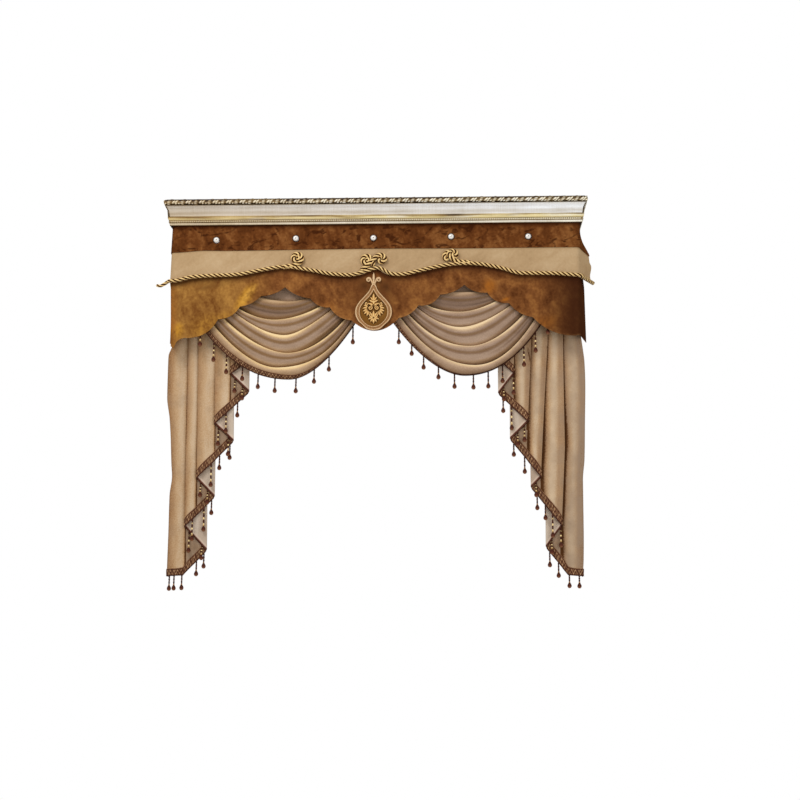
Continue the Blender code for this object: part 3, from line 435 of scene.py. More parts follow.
class Paint:
    """A node material under construction, with short calls for the nodes that the finishes share."""

    def __init__(self, name: str, **sockets: float) -> None:
        """Start a Principled material.

        Args:
            name: the material's name.
            sockets: plain values of the shader's sockets, named in lower case with underscores.
        """
        self.material = bpy.data.materials.new(name)
        self.material.use_nodes = True
        self.tree = self.material.node_tree
        self.shader = self.tree.nodes["Principled BSDF"]
        named = {socket.name.lower().replace(" ", "_"): socket for socket in self.shader.inputs}
        for key, value in sockets.items():
            named[key].default_value = value

    def add(self, kind: str, inputs: dict[str | int, object], **settings: object) -> bpy.types.Node:
        """Add a node.

        Args:
            kind: the node type after "ShaderNode".
            inputs: values or sockets for the node's inputs.
            settings: the node's own properties.

        Returns:
            The node.
        """
        node = self.tree.nodes.new("ShaderNode" + kind)
        for key, value in settings.items():
            setattr(node, key, value)
        for key, value in inputs.items():
            if isinstance(value, Socket):
                self.tree.links.new(value, node.inputs[key])
            else:
                node.inputs[key].default_value = value
        return node

    def place(
        self, source: str = "Object", scale: tuple[float, float, float] = (1, 1, 1),
        turn: float = 0.0, shift: tuple[float, float, float] = (0, 0, 0),
    ) -> Socket:
        """Coordinates for a pattern: moved, then turned, then scaled.

        Args:
            source: "Object", or "UV" for the piece's own map.
            scale: stretch along each axis.
            turn: degrees about the y axis.
            shift: move before the scale.

        Returns:
            The vector.
        """
        vector = self.add("TexCoord", {}).outputs[source]
        tilt = (0.0, math.radians(turn), 0.0)
        for key, value in (("Location", shift), ("Rotation", tilt), ("Scale", scale)):
            vector = self.add("Mapping", {"Vector": vector, key: value}).outputs[0]
        return vector

    def across(self) -> Socket:
        """Place along x."""
        return self.add("SeparateXYZ", {0: self.place()}).outputs[0]

    def mark(self, name: str) -> Socket:
        """A mark of the mesh as a number."""
        return self.add("Attribute", {}, attribute_name=name).outputs["Fac"]

    def noise(self, vector: Socket, scale: float, detail: float = 3.0, warp: float = 0.0) -> Socket:
        """Cloudy noise from 0 to 1."""
        inputs = {"Vector": vector, "Scale": scale, "Detail": detail, "Distortion": warp}
        return self.add("TexNoise", inputs).outputs[0]

    def times(self, a: Socket | float, b: Socket | float) -> Socket:
        """Two numbers multiplied."""
        return self.add("Math", {0: a, 1: b}, operation="MULTIPLY").outputs[0]

    def total(self, first: Socket | float, *others: Socket | float) -> Socket:
        """Numbers added up.

        Args:
            first: a number or a socket.
            others: what is added to it.

        Returns:
            The sum.
        """
        for other in others:
            first = self.add("Math", {0: first, 1: other}, operation="ADD").outputs[0]
        return first

    def drift(self, noise: Socket, amount: float) -> Socket:
        """A noise moved to lie about 0, times an amount."""
        return self.times(self.total(noise, -0.5), amount)

    def spread(self, value: Socket, low: float, high: float) -> Socket:
        """A number moved from the range low to high to the range 0 to 1, clamped."""
        return self.add("MapRange", {"Value": value, "From Min": low, "From Max": high}).outputs[0]

    def patch(self, centre: tuple[float, float], reach: tuple[float, float], turn: float) -> Socket:
        """A soft oval patch on the front.

        Args:
            centre: x and z of its middle.
            reach: half sizes along its own x and z.
            turn: its tilt in degrees.

        Returns:
            1 in the middle, fading to 0 at the rim.
        """
        vector = self.place("Object", (1 / reach[0], 0.0, 1 / reach[1]), turn, (-centre[0], 0.0, -centre[1]))
        far = self.add("VectorMath", {0: vector}, operation="LENGTH").outputs["Value"]
        inputs = {"Value": far, "From Min": 1.0, "From Max": 0.0}
        return self.add("MapRange", inputs, interpolation_type="SMOOTHSTEP").outputs[0]

    def ramp(self, value: Socket, stops: tuple[tuple[float, tuple], ...]) -> Socket:
        """A colour read from stops by a number.

        Args:
            value: the number.
            stops: rows of place and colour.

        Returns:
            The colour.
        """
        node = self.add("ValToRGB", {0: value})
        elements = node.color_ramp.elements
        while len(elements) < len(stops):
            elements.new(1.0)
        for element, (place, colour) in zip(elements, stops):
            element.position = place
            element.color = colour
        return node.outputs[0]

    def mix(self, share: Socket | float, a: Socket | tuple, b: Socket | tuple, mode: str = "MIX") -> Socket:
        """Two colours mixed by a share."""
        inputs = {0: share, 6: a, 7: b}
        return self.add("Mix", inputs, data_type="RGBA", blend_type=mode, clamp_result=True).outputs[2]

    def done(self, colour: Socket, *heights: tuple[Socket, float]) -> Material:
        """The finished material.

        Args:
            colour: its base colour.
            heights: the heights of its bump, each with its distance in metres.

        Returns:
            The material.
        """
        inputs = {}
        for height, distance in heights:
            inputs |= {"Height": height, "Distance": distance, "Strength": 1.0}
            inputs["Normal"] = self.add("Bump", inputs).outputs[0]
        if heights:
            self.tree.links.new(inputs["Normal"], self.shader.inputs["Normal"])
        self.tree.links.new(colour, self.shader.inputs["Base Color"])
        return self.material


def scale_of(*rows: tuple[float, int, int, int]) -> tuple:
    """Stops of a colour scale from rows of place, red, green and blue."""
    return tuple((place, dye(*shades)) for place, *shades in rows)


@dataclass(frozen=True)
class Timber:
    """Plain pale pine of the boards."""

    light: tuple = dye(206, 172, 122)
    dark: tuple = dye(150, 108, 66)

    def material(self) -> Material:
        """Grain along x with slow rings.

        Returns:
            The material.
        """
        paint = Paint("timber", roughness=0.62)
        grain = paint.noise(paint.place(scale=(1.2, 26, 26)), 6.0, 6.0, 0.6)
        fibre = paint.noise(paint.place(scale=(3, 240, 240)), 4.0)
        mixed = paint.total(paint.times(grain, 0.75), paint.times(fibre, 0.25))
        return paint.done(paint.ramp(mixed, ((0.32, self.dark), (0.62, self.light))), (fibre, 0.0003))


@dataclass(frozen=True)
class SilverLeaf:
    """Brushed champagne silver leaf, warmer at the left, with dark gold patina in the hollows, and painted
    reflection streaks and glints.
    """

    stops: tuple = scale_of(
        (0.03, 44, 24, 6), (0.3, 142, 118, 78), (0.55, 192, 177, 152), (0.75, 222, 211, 192),
        (1.0, 250, 245, 232),
    )
    warm_end: tuple = (0.89, 0.85, 0.83, 1.0)
    cool_end: tuple = (1.27, 1.45, 1.85, 1.0)
    gilded: tuple = dye(246, 230, 176)

    def material(self) -> Material:
        """Tone runs from the dark gold patina of the recesses at 0 to painted reflection on the silver at 1.
        "gilt" adds gold and painted glints.

        Returns:
            The material.
        """
        paint = Paint("champagne_leaf", metallic=0.35, specular_ior_level=0.4)
        streak = paint.noise(paint.place("UV", (5, 620, 1)), 1.0, 4.0)
        cloud = paint.noise(paint.place("UV", (7, 30, 1)), 1.0, 4.0)
        brush = paint.noise(paint.place("UV", (320, 9, 1)), 1.0)
        glint = paint.noise(paint.place("UV", (5, 60, 1)), 1.0)
        fine = paint.noise(paint.place("UV", (900, 900, 1)), 1.0)
        brushed = paint.total(paint.drift(streak, 0.34), paint.drift(brush, 0.22), paint.drift(cloud, 0.30))
        # painted glints: bright flecks on the gilded rows
        glints = paint.times(paint.mark("gilt"), paint.drift(glint, 1.6))
        tone = paint.total(paint.mark("tone"), brushed, glints)
        # warm to cool tint across: partly the leaf's own colour, partly painted light that brightens the
        # right end
        share = paint.spread(paint.across(), -0.9, 0.9)
        tint = paint.add("Mix", {0: share, 6: self.warm_end, 7: self.cool_end}, data_type="RGBA").outputs[2]
        leaf = paint.mix(1.0, paint.ramp(tone, self.stops), tint, "MULTIPLY")
        gilt = paint.times(paint.mark("gilt"), paint.spread(cloud, 0.20, 0.50))
        paint.tree.links.new(paint.spread(streak, -1.2, 1.6), paint.shader.inputs["Roughness"])
        return paint.done(paint.mix(gilt, leaf, self.gilded, "MULTIPLY"), (streak, 0.00025), (fine, 0.00008))


@dataclass(frozen=True)
class Suede:
    """Mottled suede or velvet: large clouds, streaks where the nap is brushed, specks, fine nap."""

    name: str
    dark: tuple
    middle: tuple
    light: tuple
    cloud: float = 9.0
    contrast: float = 0.30
    stretch: tuple = (1.0, 1.0, 3.2)
    turn: float = 38.0
    shares: tuple = (0.42, 0.30, 0.28)
    scuffs: float = 0.0

    def base(self, paint: Paint) -> tuple[Socket, Socket]:
        """Colour and mottling: three noises added by their shares, about 0.5.

        Args:
            paint: the material under construction.

        Returns:
            The colour, and the mottling that it is read from.
        """
        large = paint.noise(paint.place(), self.cloud, 5.0, 0.9)
        streak = paint.noise(paint.place(scale=self.stretch, turn=self.turn), self.cloud * 1.7, 5.0, 0.5)
        fine = paint.noise(paint.place(), 95.0)
        clouds = paint.total(*(paint.times(n, share) for n, share in zip((large, streak, fine), self.shares)))
        reach = self.contrast / 2
        stops = ((0.5 - reach, self.dark), (0.5, self.middle), (0.5 + reach, self.light))
        colour = paint.ramp(clouds, stops)
        if self.scuffs:
            scuff = paint.noise(paint.place(scale=(1.0, 1.0, 1.9), turn=self.turn), 17.0, 6.0, 1.4)
            colour = paint.mix(paint.times(paint.spread(scuff, 0.53, 0.62), self.scuffs), colour, self.dark)
        return colour, clouds

    def napped(self, paint: Paint, colour: Socket, clouds: Socket) -> Material:
        """The material with soft dents of the clouds and a fine nap."""
        return paint.done(colour, (clouds, 0.0016), (paint.noise(paint.place(), 900.0, 2.0), 0.0004))

    def material(self) -> Material:
        """The plain mottled cloth, darker where a band above shades it.

        Returns:
            The material.
        """
        paint = Paint(self.name, roughness=0.95, specular_ior_level=0.0)
        colour, clouds = self.base(paint)
        shaded = paint.mix(paint.times(paint.mark("shade"), 0.8), colour, self.dark)
        return self.napped(paint, shaded, clouds)


@dataclass(frozen=True)
class LambrequinVelvet(Suede):
    """Brown velvet with painted light: golden at the left, painted sheen in patches, and painted shade making
    the right end very dark.
    """

    gold: tuple = dye(196, 140, 50)
    pale: tuple = dye(222, 168, 78)
    orange: tuple = dye(160, 96, 36)
    deep: tuple = dye(60, 31, 17)
    edge: tuple = dye(206, 150, 92)
    ground: tuple = dye(122, 84, 34)
    amber: tuple = scale_of((0.38, 128, 80, 34), (0.62, 190, 142, 70))

    def patches(self) -> tuple:
        """Rows of centre, reach, turn, colour and strength of the patches: the gold, pale and orange ones are
        painted sheen, the deep ones darker patches.
        """
        return (
            ((-0.545, -0.370), (0.036, 0.095), -35.0, self.gold, 1.3),
            ((-0.535, -0.360), (0.018, 0.070), -38.0, self.pale, 0.9),
            ((-0.60, -0.47), (0.14, 0.055), 0.0, self.gold, 0.6),
            ((-0.72, -0.50), (0.10, 0.08), 20.0, self.gold, 0.55),
            ((-0.83, -0.51), (0.035, 0.05), 0.0, self.gold, 1.0),
            ((0.48, -0.335), (0.046, 0.052), 0.0, self.orange, 1.0),
            ((0.55, -0.390), (0.034, 0.014), 22.0, self.orange, 1.2),
            ((0.70, -0.50), (0.10, 0.05), 25.0, self.orange, 0.7),
            ((-0.20, -0.42), (0.05, 0.05), 0.0, self.orange, 0.35),
            ((0.0, -0.36), (0.20, 0.10), 0.0, self.deep, 0.35),
            ((-0.045, -0.325), (0.045, 0.040), 20.0, self.deep, 0.6),
            ((0.045, -0.330), (0.050, 0.045), -20.0, self.deep, 0.6),
            ((-0.70, -0.325), (0.10, 0.018), 8.0, self.deep, 0.45),
            ((-0.862, -0.45), (0.035, 0.25), 0.0, self.orange, 0.7),
        )

    def material(self) -> Material:
        """Mottled ground, then painted light golden at the left, patches of painted sheen and of dark by
        place, painted shade at the right end, and a light turned hem.

        Returns:
            The material.
        """
        paint = Paint(self.name, roughness=0.95, specular_ior_level=0.0)
        colour, clouds = self.base(paint)
        rough_edge = paint.spread(clouds, 0.42, 0.58)
        # painted light: golden towards the left end; painted shade: very dark at the right end, where the
        # band turns back to the wall
        left = paint.spread(paint.across(), -0.42, -0.62)
        right = paint.spread(paint.across(), 0.68, 0.83)
        colour = paint.mix(paint.times(left, 0.6), colour, paint.ramp(clouds, self.amber))
        for centre, reach, turn, shade, strength in self.patches():
            spot = paint.times(paint.patch(centre, reach, turn), strength)
            spot = paint.times(spot, paint.total(rough_edge, 0.25))
            colour = paint.mix(paint.spread(spot, 0.0, 1.0), colour, shade)
        colour = paint.mix(paint.times(right, 0.9), colour, self.deep)
        colour = paint.mix(paint.times(paint.mark("hem"), paint.times(rough_edge, 0.18)), colour, self.edge)
        colour = paint.mix(paint.times(paint.mark("shade"), 0.75), colour, self.deep)
        colour = paint.mix(paint.times(paint.mark("glow"), 0.75), colour, self.ground)
        return self.napped(paint, colour, clouds)


@dataclass(frozen=True)
class Satin:
    """Shot satin: golden on the folds' crowns and in the creases, mauve grey between them, with painted
    highlights on the crowns and painted shade in the creases.
    """

    golden: tuple = scale_of(
        (0.0, 52, 32, 16), (0.25, 122, 88, 50), (0.45, 150, 114, 76), (0.65, 192, 158, 118),
        (0.85, 232, 198, 142), (1.0, 252, 224, 172),
    )
    mauve: tuple = scale_of(
        (0.0, 62, 44, 34), (0.25, 112, 88, 72), (0.45, 146, 118, 98), (0.65, 184, 156, 134),
        (1.0, 236, 212, 188),
    )

    def material(self) -> Material:
        """Tone runs from painted shade in the creases at 0 to painted highlight on the crowns at 1. "mauve"
        picks the cooler dye.

        Returns:
            The material.
        """
        paint = Paint("beige_satin", roughness=0.5, specular_ior_level=0.25, sheen_weight=0.05)
        drift = paint.drift(paint.noise(paint.place("UV", (9, 22, 1)), 1.0, 4.0), 0.22)
        grain = paint.drift(paint.noise(paint.place(), 260.0), 0.22)
        tone = paint.total(paint.mark("tone"), drift, grain)
        cool = paint.spread(paint.total(paint.mark("mauve"), paint.times(drift, 2.0)), 0.0, 1.0)
        weft = paint.add("TexWave", {"Vector": paint.place("UV"), "Scale": 420.0}, bands_direction="Y")
        crease = paint.noise(paint.place("UV", (12, 60, 1)), 1.0, 3.0, 0.4)
        colour = paint.mix(cool, paint.ramp(tone, self.golden), paint.ramp(tone, self.mauve))
        return paint.done(colour, (crease, 0.0018), (weft.outputs[1], 0.00012))


@dataclass(frozen=True)
class CascadeVelvet:
    """Beige velvet of the jabots, with a paler reverse and a bound edge."""

    stops: tuple = scale_of(
        (0.0, 84, 52, 28), (0.32, 168, 128, 90), (0.62, 196, 162, 124), (0.9, 214, 188, 156)
    )
    grey: tuple = dye(158, 134, 112)
    reverse: tuple = dye(212, 196, 178)
    reverse_dark: tuple = dye(186, 164, 144)
    deep: tuple = dye(116, 92, 76)
    binding: tuple = dye(96, 42, 30)
    rim: tuple = dye(236, 208, 188)

    def material(self) -> Material:
        """Tone paints light and shade on the face, from painted shadow in the groove to lit, and "cool" greys
        it.

        "reverse" picks the back, "hem" the bound edge and "rim" the line beside it.

        Returns:
            The material.
        """
        paint = Paint("beige_velvet", roughness=0.95, specular_ior_level=0.0)
        cloud = paint.noise(paint.place("Object", (9, 9, 1.6)), 3.0, 4.0, 0.3)
        fine = paint.noise(paint.place(), 230.0)
        tone = paint.total(paint.mark("tone"), paint.drift(cloud, 0.55), paint.drift(fine, 0.6))
        patchy = paint.drift(paint.noise(paint.place(), 13.0), 1.4)
        cool = paint.spread(paint.total(paint.mark("cool"), patchy), 0.0, 1.0)
        greyed = paint.times(cool, paint.spread(tone, 0.0, 0.3))
        face = paint.mix(greyed, paint.ramp(tone, self.stops), self.grey)
        back = paint.mix(paint.spread(cloud, 0.3, 0.7), self.reverse, self.reverse_dark)
        # painted shade: the reverse darkens where the tone is low
        back = paint.mix(paint.spread(tone, 0.42, 0.05), back, self.deep)
        turned = paint.spread(paint.mark("reverse"), 0.6, 0.9)
        colour = paint.mix(turned, face, back)
        colour = paint.mix(paint.times(paint.mark("rim"), turned), colour, self.rim)
        colour = paint.mix(paint.times(paint.mark("hem"), turned), colour, self.binding)
        return paint.done(colour, (cloud, 0.0012), (fine, 0.0003))


@dataclass(frozen=True)
class Thread:
    """Twisted or stitched thread: tone picks the colour, threads run along the map."""

    name: str
    stops: tuple
    threads: tuple[float, float] = (900.0, 10.0)
    roughness: float = 0.55
    lift: float = 0.0003
    lines: float = 0.25

    def material(self) -> Material:
        """Fine slanting threads over a colour that follows the tone.

        Returns:
            The material.
        """
        paint = Paint(self.name, roughness=self.roughness, specular_ior_level=0.08)
        inputs = {"Vector": paint.place("UV", (*self.threads, 1)), "Scale": 1.0, "Distortion": 1.5}
        threads = paint.add("TexWave", inputs, bands_direction="DIAGONAL").outputs[1]
        tone = paint.total(paint.mark("tone"), paint.drift(paint.noise(paint.place(), 160.0), 0.3))
        colour = paint.mix(self.lines, paint.ramp(tone, self.stops), threads, "MULTIPLY")
        return paint.done(colour, (threads, self.lift))


@dataclass(frozen=True)
class Gloss:
    """Polished beads and pearls: tone picks the colour."""

    name: str
    stops: tuple
    roughness: float = 0.2
    coat: float = 0.8
    shine: float = 0.5

    def material(self) -> Material:
        """A clear coat over slightly clouded colour.

        Returns:
            The material.
        """
        sockets = {"coat_weight": self.coat, "coat_roughness": 0.1, "specular_ior_level": self.shine}
        paint = Paint(self.name, roughness=self.roughness, **sockets)
        cloud = paint.noise(paint.place(), 240.0)
        tone = paint.total(paint.mark("tone"), paint.drift(cloud, 0.08))
        return paint.done(paint.ramp(tone, self.stops), (cloud, 0.0002))


class Finish(Enum):
    """Every finish of the valance, with the record's slot as its value."""

    TIMBER = "timber"
    LEAF = "champagne_leaf"
    BROWN_SUEDE = "brown_suede"
    TAN_SUEDE = "tan_suede"
    BROWN_VELVET = "brown_velvet"
    SATIN = "beige_satin"
    CASCADE = "beige_velvet"
    BRAID = "brown_braid"
    ROPE = "gold_rope"
    PEARL = "pearl"
    CORD = "cream_cord"
    BEAD = "amber_bead"


BRAID_TONES = scale_of((0.0, 44, 22, 14), (0.22, 88, 50, 36), (0.5, 148, 104, 72), (0.95, 230, 190, 144))
# ROPE_TONES run from painted shade in the strands' grooves to painted highlight on their crests
ROPE_TONES = scale_of((0.18, 28, 12, 2), (0.48, 140, 80, 26), (0.78, 220, 162, 88), (1.0, 254, 222, 156))
CORD_TONES = scale_of((0.08, 70, 36, 16), (0.3, 172, 122, 76), (0.62, 222, 176, 124), (1.0, 255, 226, 184))
PEARL_TONES = scale_of(
    (0.0, 40, 22, 14), (0.35, 66, 40, 26), (0.4, 150, 146, 140), (0.7, 190, 186, 180), (0.8, 240, 236, 230)
)
BEAD_TONES = scale_of(
    (0.0, 40, 22, 12), (0.26, 88, 42, 28), (0.44, 132, 88, 62), (0.7, 190, 146, 84), (0.95, 250, 222, 160)
)


class Finishes:
    """All materials, made once."""

    def __init__(self) -> None:
        """Make every finish."""
        makers = {
            Finish.TIMBER: Timber(),
            Finish.LEAF: SilverLeaf(),
            Finish.BROWN_SUEDE: Suede(
                "brown_suede", dye(58, 26, 10), dye(105, 60, 28), dye(150, 99, 54), 12.0, 0.40,
                (1.8, 1.0, 0.7), 12.0, (0.42, 0.36, 0.22), 0.8,
            ),
            Finish.TAN_SUEDE: Suede(
                "tan_suede", dye(164, 134, 97), dye(184, 154, 116), dye(200, 173, 136), 5.0, 0.42,
                shares=(0.46, 0.32, 0.22),
            ),
            Finish.BROWN_VELVET: LambrequinVelvet(
                "brown_velvet", dye(80, 42, 19), dye(122, 75, 39), dye(160, 107, 56), 10.0, 0.30,
                (1.8, 1.0, 0.9), 20.0, (0.44, 0.34, 0.22),
            ),
            Finish.SATIN: Satin(),
            Finish.CASCADE: CascadeVelvet(),
            Finish.BRAID: Thread("brown_braid", BRAID_TONES, (1500.0, 40.0), 0.7),
            Finish.ROPE: Thread("gold_rope", ROPE_TONES, (260.0, 26.0), 0.5, 0.0003, 0.08),
            Finish.PEARL: Gloss("pearl", PEARL_TONES),
            Finish.CORD: Thread("cream_cord", CORD_TONES, (700.0, 14.0), 0.5),
            Finish.BEAD: Gloss("amber_bead", BEAD_TONES, 0.6, 0.0, 0.12),
        }
        self.materials = {finish: maker.material() for finish, maker in makers.items()}

    def dress(self, name: str, bodies: list[Body], finish: Finish, *nodes: str, sharp: float = 40.0) -> Piece:
        """Make a piece in a finish, standing for CAD nodes.

        Args:
            name: the piece's name.
            bodies: its shells.
            finish: its finish.
            nodes: the CAD nodes that it replaces.
            sharp: edges that turn by more than this many degrees stay crisp.

        Returns:
            The piece.
        """
        piece = make_piece(name, bodies, self.materials[finish], sharp)
        if nodes:
            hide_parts(*nodes)
        return piece


# ---------------------------------------------------------------- how the bands hang


@dataclass(frozen=True)
class Hanging:
    """The bands' common surface: it leans forward over the swags and turns back at both sides."""

    heading_top: float = 0.0247
    heading_depth: float = 0.199
    half_width: float = 0.862
    corner: float = 0.016
    return_end: float = 0.006
    splayed_end: float = 0.040
    full_lean_half: float = 0.600
    end_lean: float = 0.5
    full_splay: float = 0.40
    flutter: float = 0.005
    flutter_top: float = 0.185
    flutter_length: float = 0.095
    levels: tuple = (
        # drop, lean of the front, splay of the right return of the bands and of the lambrequin,
        # splay of the left returns, flare of the left side
        (60, 0.0, 0.00, 0.00, 0.00, 0.0), (155, 7.0, 0.32, 0.10, 0.08, 4.0),
        (300, 31.0, 0.40, 0.18, 0.15, 7.0), (600, 44.0, 0.36, 0.21, 0.21, 0.0),
    )

    @property
    def straight(self) -> float:
        """Half width of the flat front."""
        return self.half_width - self.corner

    def level(self, z: Array, column: int) -> Array:
        """A column of the levels table at a height."""
        rows = np.array(self.levels)
        return np.interp(-z / MM, rows[:, 0], rows[:, column])

    def depth(self, x: Array, z: Array) -> Array:
        """Depth of the lambrequin's middle: heading depth plus the lean, which fades at the ends.

        Args:
            x: distance from the middle.
            z: height.

        Returns:
            The depth.
        """
        run = self.straight - self.full_lean_half
        ends = 1.0 - self.end_lean * np.clip((np.abs(x) - self.full_lean_half) / run, 0, 1)
        return self.heading_depth + self.level(z, 1) * MM * ends

    def on_front(self, x: Array, z: Array, out: Array | float) -> Array:
        """Points in front of the lambrequin's middle surface."""
        return grid_of(x, -(self.depth(x, z) + out), z)

    def wrap(self, station: Array, z: Array, out: Array | float) -> Array:
        """Points of a band along the front, round the corners and back to the wall.

        Station -1 to 1 is the front, 1 to 2 the rounded corner and 2 to 3 the return; minus is the
        left. The returns splay outwards below the cornice.

        Args:
            station: place along the band.
            z: height.
            out: distance out from the lambrequin's surface, 0 for the lambrequin itself.

        Returns:
            The points.
        """
        side, reach = np.sign(station), np.abs(station)
        front_x = np.minimum(reach, 1.0) * self.straight
        depth = self.depth(front_x, z)
        turn = np.clip(reach - 1.0, 0.0, 1.0) * math.pi / 2
        x = front_x + (self.corner + out) * np.sin(turn)
        d = depth - self.corner + (self.corner + out) * np.cos(turn)
        right = self.level(z, 2 if np.min(out) > 0 else 3)
        splay = np.where(side > 0, right, self.level(z, 4))
        flare = np.where(side < 0, self.level(z, 5) * MM, 0.0)
        drawn = np.where(side > 0, right / self.full_splay, 0.0)
        end = self.return_end + (self.splayed_end - self.return_end) * drawn
        back = np.clip(reach - 2.0, 0.0, 1.0)
        run = back * (depth - self.corner - end)
        x = x + run * splay + flare * np.clip((reach - 0.9) / 0.1, 0, 1)
        if np.min(out) > 0:
            wave = np.sin(TURN * (-z - self.flutter_top) / self.flutter_length)
            x = x + self.flutter * back**2 * wave * (side > 0) * ease((-z - self.flutter_top) / 0.02)
        return grid_of(side * x, run - d, z)


HANGING = Hanging()
TOP_BAND_HEM = [
    # station, height
    (-3.00, -169), (-1.00, -169), (-0.86, -162), (-0.74, -164), (-0.37, -162), (0.02, -160),
    (0.50, -162), (1.00, -160), (3.00, -162),
]
TAN_BAND_HEM = [
    # station, height
    (-3.00, -300), (-1.00, -300), (-0.92, -286), (-0.83, -281), (-0.71, -279), (-0.54, -254),
    (-0.45, -245), (-0.33, -259), (-0.19, -281), (-0.12, -283), (-0.06, -274), (0.00, -248),
    (0.06, -275), (0.12, -283), (0.26, -259), (0.40, -238), (0.47, -236), (0.61, -253),
    (0.73, -281), (0.91, -282), (1.00, -288), (3.00, -290),
]


def band_hem(table: list[tuple[float, float]], station: Array) -> Array:
    """Height of a band's hem at a station, in metres."""
    return smooth_table(np.array(table, float), station) * MM


@dataclass
class Bands:
    """The lambrequin, the tan band and the top band, one over the other."""

    finishes: Finishes
    hem_roll: float = 0.0012
    hem_reach: float = 0.005
    billow: float = 0.0045
    cornice_foot: float = -0.052
    lambrequin_start: tuple = (-846, -584)
    lambrequin_lobes: tuple = (
        # end_x, end_z, bulge below the chord
        (-800, -541, -13), (-660, -464, 26), (-568, -410, 16), (-479, -366, 9), (-378, -329, 9),
        (-271, -377, 10), (-188, -417, 13), (-97, -473, 14), (103, -464, 50), (184, -411, 11),
        (276, -365, 17), (377, -324, 10), (473, -358, 12), (564, -404, 15), (663, -464, 13), (846, -541, 24),
    )
    returns: tuple = ((-3.00, -528), (-2.30, -528), (-2.00, -572), (-1.00, -584), (1.00, -538), (3.00, -538))

    def lambrequin_hem(self, steps: int = 20) -> Array:
        """Hem of the front: each lobe is a parabola that bulges below its chord.

        Args:
            steps: points on each lobe.

        Returns:
            Rows of x and height.
        """
        start = np.array(self.lambrequin_start, float)
        runs = [start[None]]
        t = (np.arange(1, steps + 1) / steps)[:, None]
        for end_x, end_z, bulge in self.lambrequin_lobes:
            chord = np.array((end_x, end_z)) - start
            down = np.array((chord[1], -chord[0])) / np.hypot(*chord)
            runs.append(start + chord * t + down * bulge * 4 * t * (1 - t))
            start = start + chord
        return np.concatenate(runs) * MM

    def band(
        self, stations: Array, hem: Array, out: float, rows: int, above: list | None, billow: float = 0.0
    ) -> Body:
        """A wrapped cloth from the heading down to its hem.

        Args:
            stations: places along the band, the returns included.
            hem: height of the hem at each.
            out: distance out from the lambrequin's surface.
            rows: rows above the hem's roll.
            above: hem table of the band that covers it.
            billow: how far the cloth swells forward above its hem.

        Returns:
            The closed cloth, with marks "hem", 1 on the turned edge, and "shade" under the band above.
        """
        top = HANGING.heading_top
        near = self.hem_reach * np.array([1.6, 1.0, 0.7, 0.4, 0.15, 0.0])
        share = np.linspace(0, 1, rows, endpoint=False)[:, None]
        z = np.concatenate([top + (hem + near[0] - top) * share, hem + near[:, None]])
        where = np.broadcast_to(stations, z.shape)
        x = where * HANGING.straight
        cover = band_hem(above, where) if above else self.cornice_foot
        free = ease((cover - 0.012 - z) / 0.07) * (1 - bell(x, 0.0, 0.13))
        free = free * ease((1.0 - np.abs(where)) / 0.06)
        swell = 0.5 + 0.25 * np.sin(23 * x + 1.3 + 6 * z) + 0.25 * np.sin(41 * x + 9 * z)
        middle = HANGING.wrap(where, z, out + billow * free * swell)
        hem_mark = bell(z - hem, 0.0, 0.8 * self.hem_reach)
        thick = CLOTH + self.hem_roll * hem_mark
        reach = 0.008 + 0.024 * (billow > 0) if above else 0.020
        shade = np.clip(1.0 - (cover - reach / 3 - z) / reach, 0, 1) ** 1.5
        return sheet_body(middle, thick, grid_of(x, z), {"hem": hem_mark, "shade": shade})

    def stations(self, front: Array) -> Array:
        """Front stations with rounded corners and returns added at both ends."""
        side = np.concatenate([np.linspace(1, 2, 9)[1:], np.linspace(2, 3, 22)[1:]])
        return np.concatenate([-side[::-1], front, side])

    def build(self) -> None:
        dress = self.finishes.dress
        hem = self.lambrequin_hem()
        stations = self.stations(hem[:, 0] / HANGING.straight)
        height = np.interp(stations, hem[:, 0] / HANGING.straight, hem[:, 1])
        ends = np.interp(stations, *np.array(self.returns).T) * MM
        height = np.where(np.abs(stations) > 1.0, ends, height)
        velvet = self.band(stations, height, 0.0, 90, TAN_BAND_HEM, self.billow)
        cloth = dress("lambrequin_velvet", [velvet], Finish.BROWN_VELVET, "lambrequin", sharp=60)
        stations = self.stations(np.linspace(-1, 1, 401))
        suede = self.band(stations, band_hem(TAN_BAND_HEM, stations), LAYER, 60, TOP_BAND_HEM)
        cloth = dress("tan_band_suede", [suede], Finish.TAN_SUEDE, "tan_band", sharp=60)
        suede = self.band(stations, band_hem(TOP_BAND_HEM, stations), 2 * LAYER, 40, None)
        cloth = dress("top_band_suede", [suede], Finish.BROWN_SUEDE, "top_band", sharp=60)


# ---------------------------------------------------------------- cornice


OFF_BEAD = 9.0  # stands for a place that is not on the carved bead


